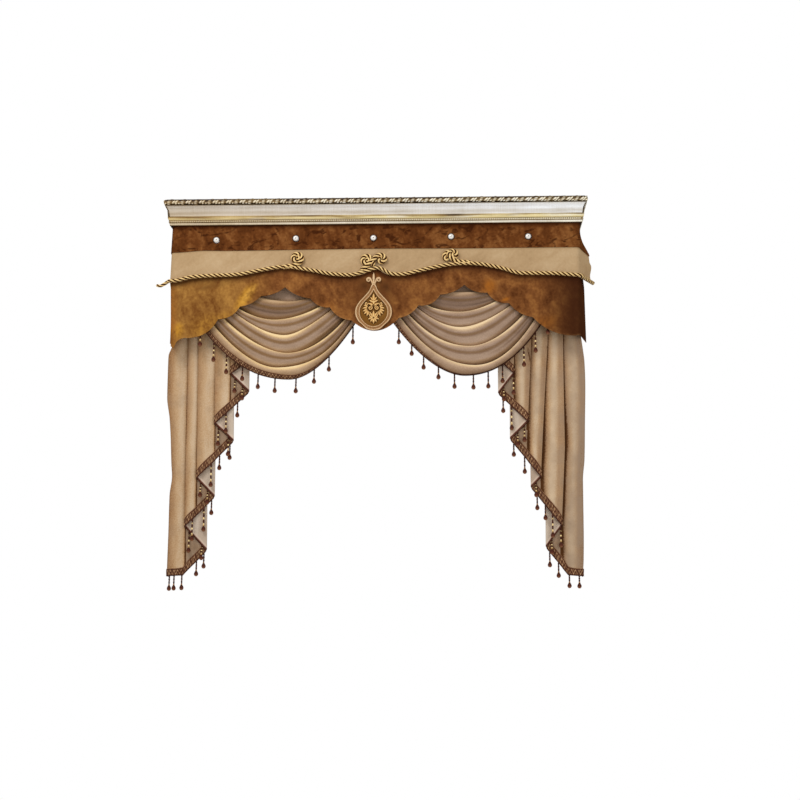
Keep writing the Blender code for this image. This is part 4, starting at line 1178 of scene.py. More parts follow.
@dataclass
class Cornice:
    """Carved moulding: a front length and two returns, mitred."""

    finishes: Finishes
    back_half: float = 0.871
    back_depth: float = 0.208
    top: float = 0.058
    tall: float = 0.112
    carve_pitch: float = 0.056
    carve_height: float = 0.0034
    bead_pitch: float = 0.008
    bead_radius: float = 0.0037
    bead_out: float = 0.0078
    bead_drop: float = 0.0961
    bead_centre: tuple = (0.017, 0.013)
    carved_rows: tuple = (3, 34)
    torus_rows: tuple = (60, 73)
    leaves: tuple = (
        # place along the pattern and round the bead, degrees, half length and half width
        (0.16, 0.02, 36, 0.20, 0.060), (0.38, -0.01, 36, 0.20, 0.055), (0.05, -0.12, 20, 0.10, 0.040),
        (0.27, 0.13, 24, 0.11, 0.040), (0.50, 0.12, 30, 0.10, 0.040), (0.58, -0.13, 20, 0.09, 0.035),
    )
    # painted reflection streaks down the cove, darker at its top as painted shade under the torus
    cove_reflection_tones: tuple = (0.3, 0.5, 0.75, 0.87, 0.90, 0.74, 0.73, 0.75, 0.73, 0.63, 0.56, 0.60, 0.68)

    def profile(self) -> tuple[Array, Array, Array]:
        """Section from its back top corner, from arcs and short flats.

        Returns:
            Rows of out and drop, the tone of each, and the place of each round the carved top bead
            from -1 to 1, or OFF_BEAD. The tones give dark gold patina in the recesses, painted
            reflection streaks on the cove and ovolo, and painted shade under the torus and at the foot.
        """

        def arc(centre: tuple, radius: tuple, start: float, end: float, tones: tuple, count: int) -> Array:
            """Rows of out, drop and tone along an arc of an oval, in degrees."""
            a = np.radians(np.linspace(start, end, count))
            tone = np.interp(np.linspace(0, 1, count), np.linspace(0, 1, len(tones)), tones)
            return np.stack([centre[0] + radius[0] * np.cos(a), centre[1] - radius[1] * np.sin(a), tone], 1)

        parts = [
            np.array([(0.0, 0.0, 0.3), (10.0, 0.0, 0.3), (15.5, 0.3, 0.2)]),
            arc((17, 13), (12, 12), 90, -90, (0.3,), 31),
            arc((25, 70), (18.5, 42.0), 90, 178, self.cove_reflection_tones, 26),
            arc((5, 79.5), (8.0, 8.0), 80, -80, (0.42, 0.34, 0.58, 1.0, 1.05), 13),
            arc((5, 93.5), (3.6, 5.0), 80, -80, (0.22, 0.30, 0.30, 0.22), 9),
            np.array([
                (5.2, 99.0, 0.2), (5.6, 99.8, 0.62), (5.6, 103.5, 0.72), (5.4, 107.6, 0.55),
                (4.5, 109.0, 0.0), (0.0, 109.0, 0.0),
            ]),
        ]
        rows = np.concatenate(parts)
        place = np.full(len(rows), OFF_BEAD)
        place[slice(*self.carved_rows)] = np.linspace(-1, 1, 31)
        return rows[:, :2] * (MM, self.tall / rows[-1, 1]), rows[:, 2], place

    def carving(self, along: Array, place: Array) -> Array:
        """Height of the leaf and ribbon carving, 0 to 1.

        Leaves are leaning ovals, highest along their spines. The ribbon is a slanting, fluted band.

        Args:
            along: metres along the moulding.
            place: place round the bead, from -1 at the top to 1 at the bottom.

        Returns:
            The height.
        """
        s = along / self.carve_pitch
        q = place * 0.26
        band = s % 1.0 - 0.80 + 0.55 * q
        height = 0.8 * (np.abs(band) < 0.10) * (0.6 + 0.4 * np.cos(band * TURN / 0.05))
        for centre, lift, angle, length, width in self.leaves:
            a = math.radians(angle)
            du, dv = (s - centre + 0.5) % 1.0 - 0.5, q - lift
            u = (du * math.cos(a) - dv * math.sin(a)) / length
            v = (du * math.sin(a) + dv * math.cos(a)) / width
            veins = 0.86 + 0.14 * np.cos(9 * v + 5 * np.abs(u))
            height = np.maximum(height, np.clip(1 - u * u - v * v, 0, 1) ** 0.5 * veins)
        return height

    def section_grid(self, metres: Array) -> tuple[Array, Array, Array]:
        """The section repeated along a length with its carving raised.

        Args:
            metres: places along the length.

        Returns:
            How far out and how far down each point lies, and its tone, a row for each place.
        """
        rows, tone, place = self.profile()
        carved = place < OFF_BEAD
        raised = np.where(carved, self.carving(metres[:, None], place), 0.0)
        fade = np.where(carved, 1 - np.clip((np.abs(place) - 0.86) / 0.14, 0, 1), 0)
        out = np.where(carved[:, None], unit(rows - np.array(self.bead_centre)), 0.0)
        grid = rows + out * ((raised - 0.45) * fade * self.carve_height)[..., None]
        # painted highlight on the lit middle of the carved bead and on its raised leaves, painted shade along
        # its upper and lower edges; the low recesses stay dark as patina
        lit = bell(place, 0.28, 0.34)
        edges = 0.52 * bell(place, 1.0, 0.26) + 0.75 * bell(place, -0.62, 0.34)
        shade = 0.12 + 0.16 * lit + (1.20 + 0.55 * lit) * raised**2.0 - edges
        return grid[..., 0], grid[..., 1], np.where(carved, np.clip(shade, 0, 1), tone)

    def beads(self, start: Array, end: Array) -> Body:
        """The fine beaded row between two points.

        Args:
            start: one end of the row's centre line.
            end: the other end.

        Returns:
            All its balls.
        """
        count = max(2, int(np.linalg.norm(end - start) / self.bead_pitch))
        share = (np.arange(count) + 0.5) / count
        ball = ball_body(0.05, (0.1, 0.16, 0.42, 0.66, 0.72, 0.72, 0.72))
        places = start + (end - start) * share[:, None]
        return ball.repeated(places, np.full((count, 3), self.bead_radius), {"gilt": np.full(count, 0.6)})

    def build(self) -> None:
        """Make the three lengths with their beads."""
        bead_z = self.top - self.bead_drop
        along = np.linspace(-1, 1, 601)[:, None]
        half = self.back_half - GAP
        out, drop, tone = self.section_grid(along[:, 0] * half)
        x = along * (half + out)
        rings = grid_of(x, -(self.back_depth + out), self.top - drop)
        ends = [np.array((end, -self.back_depth - self.bead_out, bead_z)) for end in (-half, half)]
        self.moulding("cornice_front_leaf", rings, tone, x, ends, "cornice_front")
        place = self.back_depth - GAP
        along = np.linspace(0, 1, 90)[:, None]
        out, drop, tone = self.section_grid(along[:, 0] * place)
        reach = along * (place + out)
        for side, word in ((-1, "left"), (1, "right")):
            rings = grid_of(side * (self.back_half + out), -reach, self.top - drop)
            edge = side * (self.back_half + self.bead_out)
            ends = [np.array((edge, y, bead_z)) for y in (-0.002, -place - 0.004)]
            self.moulding(f"cornice_{word}_leaf", rings, tone, reach, ends, f"cornice_return_{word}")

    def moulding(self, name: str, rings: Array, tone: Array, run: Array, ends: list, node: str) -> None:
        """Make one length.

        Args:
            name: the piece's name.
            rings: its sections.
            tone: their tones.
            run: metres along the length, for the map.
            ends: the two ends of its beaded row.
            node: the CAD node that it replaces.
        """
        around = run_along(self.profile()[0])
        around = np.append(around, around[-1] + 0.1)
        uv = grid_of(np.concatenate([run, run[:, :1]], axis=1), around)
        row = np.arange(tone.shape[1])
        first, last = self.torus_rows
        gilt = 1.0 * (row >= first) * (row < last) + 0.5 * (row < self.carved_rows[1]) + 0.35 * (row >= last)
        body = carried_body(rings, uv, {"tone": tone, "gilt": gilt})
        self.finishes.dress(name, [body, self.beads(*ends)], Finish.LEAF, node, sharp=50)


# ---------------------------------------------------------------- rope, knots and studs


@dataclass
class Rope:
    """Three-strand twisted rope: the length sewn along the tan band, and the knots on it."""

    finishes: Finishes
    radius: float = 0.0078
    knot_radius: float = 0.0098
    knot_out: float = 2.4 * MM
    groove_pitch: float = 0.022
    lift: float = 0.004
    strands: int = 3
    loose_tip: tuple = (
        # x, depth, height, from the free end inwards
        (-932, 200, -309), (-921, 202, -313), (-908, 203, -312), (-892, 205, -303),
    )
    knots: dict = field(default_factory=lambda: {
        # x, height, out of the band
        "knot_1": [
            (-331, -206, 9), (-326, -201, 9), (-322, -207, 8), (-328, -215, 7), (-341, -213, 7),
            (-347, -201, 7), (-340, -189, 7), (-326, -185, 7), (-313, -192, 7), (-309, -205, 7),
            (-314, -219, 7), (-326, -230, 7), (-342, -236, 7), (-362, -239, 7), (-392, -243, 6),
        ],
        "knot_2": [
            (-36, -219, 9), (-30, -213, 9), (-26, -220, 8), (-33, -229, 7), (-46, -226, 7), (-52, -213, 7),
            (-45, -200, 7), (-30, -197, 7), (-17, -204, 8), (-9, -216, 9), (-8, -230, 8), (-6, -243, 7),
        ],
        "knot_3": [
            (28, -213, 9), (22, -208, 9), (18, -215, 8), (25, -224, 7), (38, -220, 7), (43, -207, 7),
            (35, -195, 7), (20, -192, 7), (7, -199, 9), (-4, -211, 12), (-22, -231, 11), (-38, -246, 7),
            (-60, -262, 6),
        ],
        "knot_4": [
            (306, -206, 8), (302, -214, 8), (294, -206, 7), (296, -192, 7), (308, -183, 7), (321, -187, 9),
            (326, -198, 11), (334, -205, 9), (343, -198, 7), (342, -184, 7), (330, -177, 7), (318, -180, 10),
            (312, -193, 13), (320, -207, 12), (334, -217, 9), (352, -224, 7), (376, -227, 6), (406, -228, 5),
        ],
    })

    def strand_body(self, path: Array, reference: Array, radius: Array) -> Body:
        """Twisted strands along a path.

        The section's radius is 0.70 + 0.30 |cos(strands/2 (angle - twist))|^0.6 of the rope's.

        Args:
            path: evenly spaced centre line.
            reference: direction across the path that the twist is counted from.
            radius: the rope's radius at each point.

        Returns:
            The closed body, toned from painted shade in the grooves at 0 to painted highlight on the crests
            at 1.
        """
        side, up = path_frames(path, reference)
        angle = np.linspace(0, TURN, 30, endpoint=False)
        run = run_along(path)[:, None]
        twist = -run / (self.groove_pitch * self.strands) * TURN
        crest = np.abs(np.cos(self.strands / 2 * (angle - twist)))
        reach = (radius[:, None] * (0.70 + 0.30 * crest**0.6))[..., None]
        round_it = np.cos(angle)[:, None] * side[:, None] + np.sin(angle)[:, None] * up[:, None]
        uv = grid_of(run, np.linspace(0, 1, 31) - twist / TURN)
        return carried_body(path[:, None] + reach * round_it, uv, {"tone": ease((crest - 0.40) / 0.48)})

    def rope_path(self) -> Array:
        """Centre line of the sewn rope with its loose tip, evenly spaced.

        Returns:
            Its points.
        """
        stations = np.linspace(-1.8, 2.9, 900)
        out = LAYER + CLOTH / 2 + 4 * GAP + self.radius
        run = HANGING.wrap(stations, band_hem(TAN_BAND_HEM, stations) + self.lift, out)
        tip = np.array(self.loose_tip, float) * (MM, -MM, MM)
        return smooth_path(np.concatenate([tip, run[::12], run[-1:]]), 1150)

    def build(self) -> None:
        """Make the rope and its knots."""
        path = self.rope_path()
        run = run_along(path)
        ends = np.minimum(run, run[-1] - run)
        radius = self.radius * (0.80 + 0.20 * ease(run / 0.07)) * (0.35 + 0.65 * ease(ends / 0.004))
        body = self.strand_body(path, UP, radius)
        self.finishes.dress("rope_strands", [body], Finish.ROPE, "rope", sharp=80)
        for name, rows in self.knots.items():
            x, z, out = np.array(rows, float).T * MM
            path = smooth_path(HANGING.on_front(x, z, out + LAYER + CLOTH / 2 + self.knot_out), 110)
            run = run_along(path)
            radius = self.knot_radius * (0.35 + 0.65 * ease(np.minimum(run, run[-1] - run) / 0.006))
            body = self.strand_body(path, -FORWARD, radius)
            self.finishes.dress(f"{name}_loops", [body], Finish.ROPE, name, sharp=80)


@dataclass
class Studs:
    """Pearl studs with a dark setting and a small pin."""

    finishes: Finishes
    radius: float = 0.013
    height: float = 0.010
    places: tuple = ((-676, -118), (-337, -114), (-7, -115), (322, -112), (648, -114))
    # shares of the radius and of the height
    setting: tuple = ((0.02, 0), (1.12, 0), (1.16, 0.14), (1.08, 0.34), (0.93, 0.32))
    pin: tuple = ((0.17, 0.995), (0.15, 1.07), (0.08, 1.12), (0.01, 1.13))

    def build(self) -> None:
        """Turn each stud and set it on the top band."""
        a = np.radians(np.linspace(0, 80, 12))
        dome = grid_of(0.90 * np.cos(a), 0.25 + 0.75 * np.sin(a))
        profile = np.concatenate([self.setting, dome, self.pin]) * (self.radius, self.height)
        tone = np.concatenate([np.full(5, 0.1), [0.3], np.full(11, 1.0), np.full(4, 0.2)])
        for number, (x, z) in enumerate(np.array(self.places) * MM, start=1):
            body = turned_body(profile, 32, tone)
            lean = (HANGING.depth(x, z - MM) - HANGING.depth(x, z + MM)) / (2 * MM)
            out = HANGING.depth(x, z) + 2 * LAYER + CLOTH / 2 + 2 * GAP
            own_x, own_y, own_z = body.points.T
            body.points = grid_of(own_x + x, own_y - out + lean * own_z, own_z + z)
            self.finishes.dress(f"stud_{number}_pearl", [body], Finish.PEARL, f"stud_{number}", sharp=35)


# ---------------------------------------------------------------- medallion


@dataclass
class Medallion:
    """Teardrop applique: velvet pad, corded edging, finial and raised embroidery."""

    finishes: Finishes
    outer: tuple = (
        # height, half width, from the neck down
        (-311, 0), (-322, 9), (-345, 18), (-369, 37), (-396, 61), (-420, 75), (-444, 78),
        (-462, 74), (-480, 64), (-492, 51), (-501, 42), (-509, 34), (-516, 22), (-520, 0),
    )
    inner: tuple = (
        (-346, 0), (-355, 4), (-375, 18), (-396, 38), (-420, 54), (-444, 57), (-462, 53),
        (-478, 43), (-489, 32), (-497, 19), (-501, 0),
    )
    base: float = CLOTH / 2 + 3 * GAP
    centre: float = -0.440
    shift: float = -0.004
    outline_width: float = 0.0026
    leaves: tuple = (
        # base x and z, bend x and z, tip x and z, half width
        (0, -388, 0, -374, 0, -361, 6.0), (0, -390, 7, -384, 13, -375, 4.6),
        (0, -398, 9, -394, 19, -388, 4.6), (0, -408, 0, -398, 0, -389, 5.5),
        (3, -412, 12, -406, 25, -402, 4.8), (26, -420, 33, -412, 41, -413, 4.8),
        (27, -424, 37, -422, 47, -425, 4.6), (27, -428, 36, -433, 46, -437, 4.8),
        (25, -432, 32, -441, 40, -449, 4.8), (22, -436, 25, -447, 29, -459, 4.4),
        (0, -462, 0, -449, 0, -434, 6.2), (2, -462, 8, -453, 12, -442, 4.2),
        (3, -464, 11, -461, 19, -453, 4.0), (0, -468, 0, -478, 0, -491, 5.4),
        (2, -468, 8, -474, 13, -484, 4.4), (3, -466, 13, -467, 24, -472, 4.4),
    )
    scrolls: tuple = (
        # centre x and z, outer radius, turns, start angle, half width
        (14, -422, 9.5, 1.25, 100, 2.6), (30, -404, 7.0, 1.15, 200, 2.2), (17, -447, 6.5, 1.10, 60, 2.0),
    )

    def outline(self, rows: tuple, count: int) -> Array:
        """Closed outline mirrored from its right half, as x and z in metres, evenly spaced.

        Args:
            rows: height and half width down the right half.
            count: points on that half.

        Returns:
            Rows of x and z.
        """
        right = smooth_path(np.array([(w, z) for z, w in rows], float), count)
        left = right[-2:0:-1] * (-1, 1)
        return np.concatenate([right, left]) * MM + (self.shift, 0.0)

    def edging(self) -> Body:
        """The ring between two outlines: outer cord, stitched middle and inner cord.

        Returns:
            The closed ring.
        """
        outer, inner = self.outline(self.outer, 130), self.outline(self.inner, 130)
        v = np.concatenate([[0.0, 0.0], np.linspace(0, 1, 33), [1.0, 1.0]])
        height = (
            0.0030
            + 0.0048 * np.sqrt(np.clip(1 - ((v - 0.18) / 0.18) ** 2, 0, 1))
            + 0.0010 * bell(v, 0.53, 0.10)
            + 0.0038 * np.sqrt(np.clip(1 - ((v - 0.85) / 0.15) ** 2, 0, 1))
        )
        height[[0, -1]] = 0.0
        tone = 0.40 + 0.56 * bell(v, 0.20, 0.14) + 0.44 * bell(v, 0.85, 0.11)
        # painted shadow along the outer rim of the edging
        tone = tone * (1 - 0.8 * bell(v, 0.0, 0.03))
        run = run_along(outer)[:, None]
        beat = np.abs(np.sin(math.pi * (run / 0.0052 + 0.8 * v[None])))
        height = height[None] + 0.0007 * beat * (tone[None] - 0.3)
        tone = tone[None] * (0.80 + 0.20 * beat)
        flat = outer[:, None] + (inner - outer)[:, None] * v[None, :, None]
        points = HANGING.on_front(flat[..., 0], flat[..., 1], self.base + height)
        around = np.append(v, 1.0)[None]
        run = np.append(run, run[-1] + 0.003)[:, None]
        uv = grid_of(run, around * 0.02)
        return carried_body(points, uv, {"tone": tone}, closed=True)

    def pad(self) -> Body:
        """The velvet ground, slightly crowned.

        Returns:
            The closed pad.
        """
        inner = self.outline(self.inner, 90)
        middle = np.array((self.shift, self.centre))
        share = np.concatenate([[0.02, 1.0], np.linspace(1.0, 0.02, 24)])
        height = np.concatenate([[0.0, 0.0], 0.0016 + 0.0016 * ease((1 - np.linspace(1.0, 0.02, 24)) / 0.3)])
        flat = middle + (inner - middle)[None] * 0.99 * share[:, None, None]
        points = HANGING.on_front(flat[..., 0], flat[..., 1], self.base + height[:, None])
        uv = np.zeros((len(share), len(inner) + 1, 2))
        return carried_body(points, uv, {"glow": np.ones(points.shape[:2])})

    def stroke(self, flat: Array, width: Array, rise: float, base: float, tone: float) -> Body:
        """One raised stitched stroke along points x and z in metres.

        Args:
            flat: rows of x and z.
            width: half width at each.
            rise: half height at the crest.
            base: height of its foot over the pad's back.
            tone: mark of its crest.

        Returns:
            The closed stroke.
        """
        path = HANGING.on_front(flat[:, 0] + self.shift, flat[:, 1], self.base + base + 0.3 * rise)
        high = rise * np.minimum(1.0, width / (0.6 * np.max(width)))
        return tube_body(path, width, high, FORWARD, 12, tone)

    def outlined(self, flat: Array, width: Array, rise: float) -> list[Body]:
        """A pale stroke over a low dark one that shows round it."""
        dark = self.stroke(flat, width + self.outline_width, 0.0012, 0.0030, 0.0)
        return [dark, self.stroke(flat, width, rise, 0.0030, 0.96)]

    def embroidery(self) -> list[Body]:
        """Leaves and scrolls of the raised embroidery, mirrored left and right.

        Returns:
            The stitched strokes.
        """
        bodies = []
        s = np.linspace(0, 1, 18)
        for *places, half in self.leaves:
            points = np.array(places, float).reshape(3, 2) * MM
            width = 1.3 * half * MM * np.clip(np.sin(math.pi * s**0.75), 0.05, 1) ** 0.8
            for side in (1, -1) if places[4] else (1,):
                bodies += self.outlined(smooth_path(points * (side, 1), 18), width, 0.0026)
        t = np.linspace(0, 1, 40)
        for x, z, radius, turns, start, half in self.scrolls:
            angle = np.radians(start) + t * turns * TURN
            r = radius * (1 - 0.78 * t)
            width = 1.35 * half * MM * (0.5 + 0.5 * np.sin(math.pi * np.clip(t, 0.05, 1.0)) ** 0.5)
            for side in (1, -1):
                flat = grid_of(side * (x + r * np.cos(angle)), z + r * np.sin(angle)) * MM
                bodies += self.outlined(flat, width, 0.0022)
        return bodies

    def finial(self) -> list[Body]:
        """A spear between two volutes, over a small collar.

        Returns:
            Its strokes.
        """
        spear = smooth_path(np.array([(0, -318), (0, -292), (0, -269)]) * MM, 20)
        wide = np.interp(np.linspace(0, 1, 20), (0, 0.25, 0.5, 0.75, 1), (5.5, 4.5, 6.5, 5.0, 0.6)) * MM
        bodies = [self.stroke(spear, wide, 0.0046, 0.0034, 0.95)]
        t = np.linspace(0, 1, 60)
        angle = np.radians(165) - t * 1.55 * TURN
        radius = 9.0 * (1 - 0.70 * t**1.3)
        wide = np.linspace(4.8, 3.0, 70) * MM
        for side in (1, -1):
            curl = grid_of(side * (21 + radius * np.cos(angle)), -301 + radius * np.sin(angle))
            stem = np.array([(side * 2.0, -324.0), (side * 6.5, -312.0)])
            flat = smooth_path(np.concatenate([stem, curl[::4]]) * MM, 70)
            bodies.append(self.stroke(flat, wide, 0.0046, 0.0028, 0.9))
        collar = smooth_path(np.array([(-9, -318), (0, -316), (9, -318)]) * MM, 16)
        wide = 4.0 * MM * np.sin(np.linspace(0.3, math.pi - 0.3, 16))
        return [*bodies, self.stroke(collar, wide, 0.0044, 0.0036, 0.8)]

    def build(self) -> None:
        """Make the applique's pieces."""
        dress = self.finishes.dress
        dress("medallion_ground", [self.pad()], Finish.BROWN_VELVET, "medallion_pad", sharp=60)
        dress("medallion_cord", [self.edging()], Finish.CORD, "medallion_edging", sharp=60)
        dress("medallion_crown", self.finial(), Finish.CORD, "medallion_finial", sharp=60)
        dress("medallion_embroidery", self.embroidery(), Finish.ROPE, sharp=60)


# ---------------------------------------------------------------- fringes


@dataclass(frozen=True)
class Fringe:
    """Gimp braid with bead drops."""

    width: float = 0.025
    thick: float = 0.0016
    overhang: float = 0.005
    scroll_pitch: float = 0.015
    drop_length: float = 0.062
    bulb_height: float = 0.027
    # bead: distance down, radius, height share, tone
    beads: tuple = (
        (19.0, 2.6, 7.5, 0.10), (3.0, 3.7, 1.4, 0.16), (9.3, 3.5, 0.9, 0.90), (15.2, 3.9, 1.3, 0.16),
        (21.4, 3.6, 0.9, 0.94), (27.4, 3.9, 1.3, 0.16), (33.2, 3.5, 0.8, 0.90),
    )

    def pattern(self, run: Array, across: Array, reach: Array) -> tuple[Array, Array]:
        """Relief and tone of the gimp.

        One bold wave runs between raised borders, with a leaf in each of its bays.

        Args:
            run: metres along the braid.
            across: 0 at the lower edge to 1 at the upper one.
            reach: share of the braid's width that shows.

        Returns:
            Height in metres and tone.
        """
        phase = TURN * run / self.scroll_pitch
        v = 2 * across - 1
        wave = bell(v - 0.50 * np.sin(phase), 0.0, 0.26)
        leaf = bell(v + 0.54 * np.sin(phase), 0.0, 0.24) * np.sin(phase) ** 4
        border = bell(np.abs(v), 0.92, 0.09)
        ticks = 0.5 + 0.5 * np.sin(TURN * run / 0.0036 + 3 * v)
        scroll = np.maximum(wave, 0.85 * leaf)
        height = 0.0011 * scroll + 0.0008 * border + 0.0002 * ticks
        tone = 0.16 + 0.74 * ease((scroll - 0.2) / 0.5) * (0.60 + 0.40 * ticks)
        tone = np.where(border > 0.7, 0.14 + 0.10 * ticks, tone)
        tone = tone * (0.95 + 0.15 * np.sin(run * TURN / 0.043 + 2 * np.sin(run * TURN / 0.11)))
        tone = np.where(across > 0.965, 0.62, tone)
        # painted shade where the braid turns under and little of it shows
        return height, tone * ease((reach - 0.1) / 0.8)

    def braid(self, grid: Array, normal: Array, reach: Array | float = 1.0) -> Body:
        """The braid on a grid of its middle surface, upper edge first.

        Args:
            grid: rows from the upper edge down, columns along it.
            normal: its outward direction.
            reach: share of its width that shows.

        Returns:
            The closed strip.
        """
        run, across = run_along(grid[-1])[None], np.linspace(1, 0, len(grid))[:, None]
        height, tone = self.pattern(run, across, reach)
        return sheet_body(grid, self.thick, grid_of(run, across * self.width), {"tone": tone}, normal, height)

    def drops(self, tops: Array, swings: Array, longer: Array, bright: Array) -> Body:
        """Bead drops hanging from places on the braid's lower edge.

        Args:
            tops: where each drop starts.
            swings: how far forward each bulb hangs.
            longer: how much longer than the usual each is, in millimetres.
            bright: 1 where the small beads are cream, 0 where they are brown.

        Returns:
            All beads, bulbs and the thread between them.
        """
        ball = self.upright(ball_body(0.12, np.zeros(6)))
        down, radius, tall, shade = np.array(self.beads, float).T
        stretch = 1 + longer * MM / (self.drop_length - self.bulb_height)
        places = self.hang(tops, swings, down * MM / self.drop_length, stretch)
        sizes = radius[:, None] * MM * np.ones((len(tops), len(down), 3))
        sizes[..., 2] *= tall * stretch[:, None]
        tones = shade * (0.36 + 0.64 * bright[:, None])
        beads = ball.repeated(places, sizes.reshape(-1, 3), {"tone": tones.ravel()})
        full = 1 + longer * MM / self.drop_length
        ends = self.hang(tops, swings, np.array([1.0]), full)
        return joined([beads, self.bulb().repeated(ends, np.ones((len(tops), 3)), {})])

    def hang(self, tops: Array, swings: Array, share: Array, stretch: Array) -> Array:
        """Places down every drop, which swings forward near its top and is longer by its stretch.

        Args:
            tops: where each drop starts.
            swings: how far forward each hangs.
            share: places as shares of the usual length.
            stretch: length of each over the usual one.

        Returns:
            A row for each place of each drop.
        """
        drop = np.zeros((len(tops), len(share), 3))
        drop[..., 1] = -swings[:, None] * np.minimum(share[None] * 1.3, 1.0)
        drop[..., 2] = -share[None] * self.drop_length * stretch[:, None]
        return (tops[:, None] + drop).reshape(-1, 3)

    def upright(self, body: Body) -> Body:
        """A turned body with its axis stood up along z.

        Args:
            body: the body, turned round y.

        Returns:
            The body itself.
        """
        x, y, z = body.points.T
        body.points = np.stack([x, z, -y], axis=1)
        return body.outward()

    def bulb(self) -> Body:
        """The teardrop at the end with its tip at the origin, under a small gold cap.

        Returns:
            The closed body.
        """
        rows = np.array([
            # radius, height over the tip, tone; the lighter lower rows are a painted highlight
            (0.1, 0.0, 0.34), (3.1, 0.5, 0.46), (6.1, 2.4, 0.46), (8.3, 5.6, 0.36), (9.1, 9.4, 0.26),
            (8.5, 13.2, 0.20), (6.9, 16.8, 0.16), (5.0, 20.0, 0.12), (3.7, 22.6, 0.08), (3.8, 23.2, 0.60),
            (3.9, 24.8, 0.70), (2.6, 26.3, 0.50), (0.3, 27.0, 0.20),
        ])
        body = self.upright(turned_body(rows[::-1, :2] * (MM, -MM), 14, rows[::-1, 2]))
        body.points[:, 2] = np.abs(body.points[:, 2])
        return body.outward()


def trimmed(finishes: Finishes, name: str, braid: Body, drops: Body) -> list[Piece]:
    """The gimp and the drops along a cloth's hem, as pieces."""
    gimp = finishes.dress(f"{name}_gimp", [braid], Finish.BRAID, f"fringe_{name}", sharp=60)
    return [gimp, finishes.dress(f"{name}_drops", [drops], Finish.BEAD, sharp=60)]


# ---------------------------------------------------------------- swags


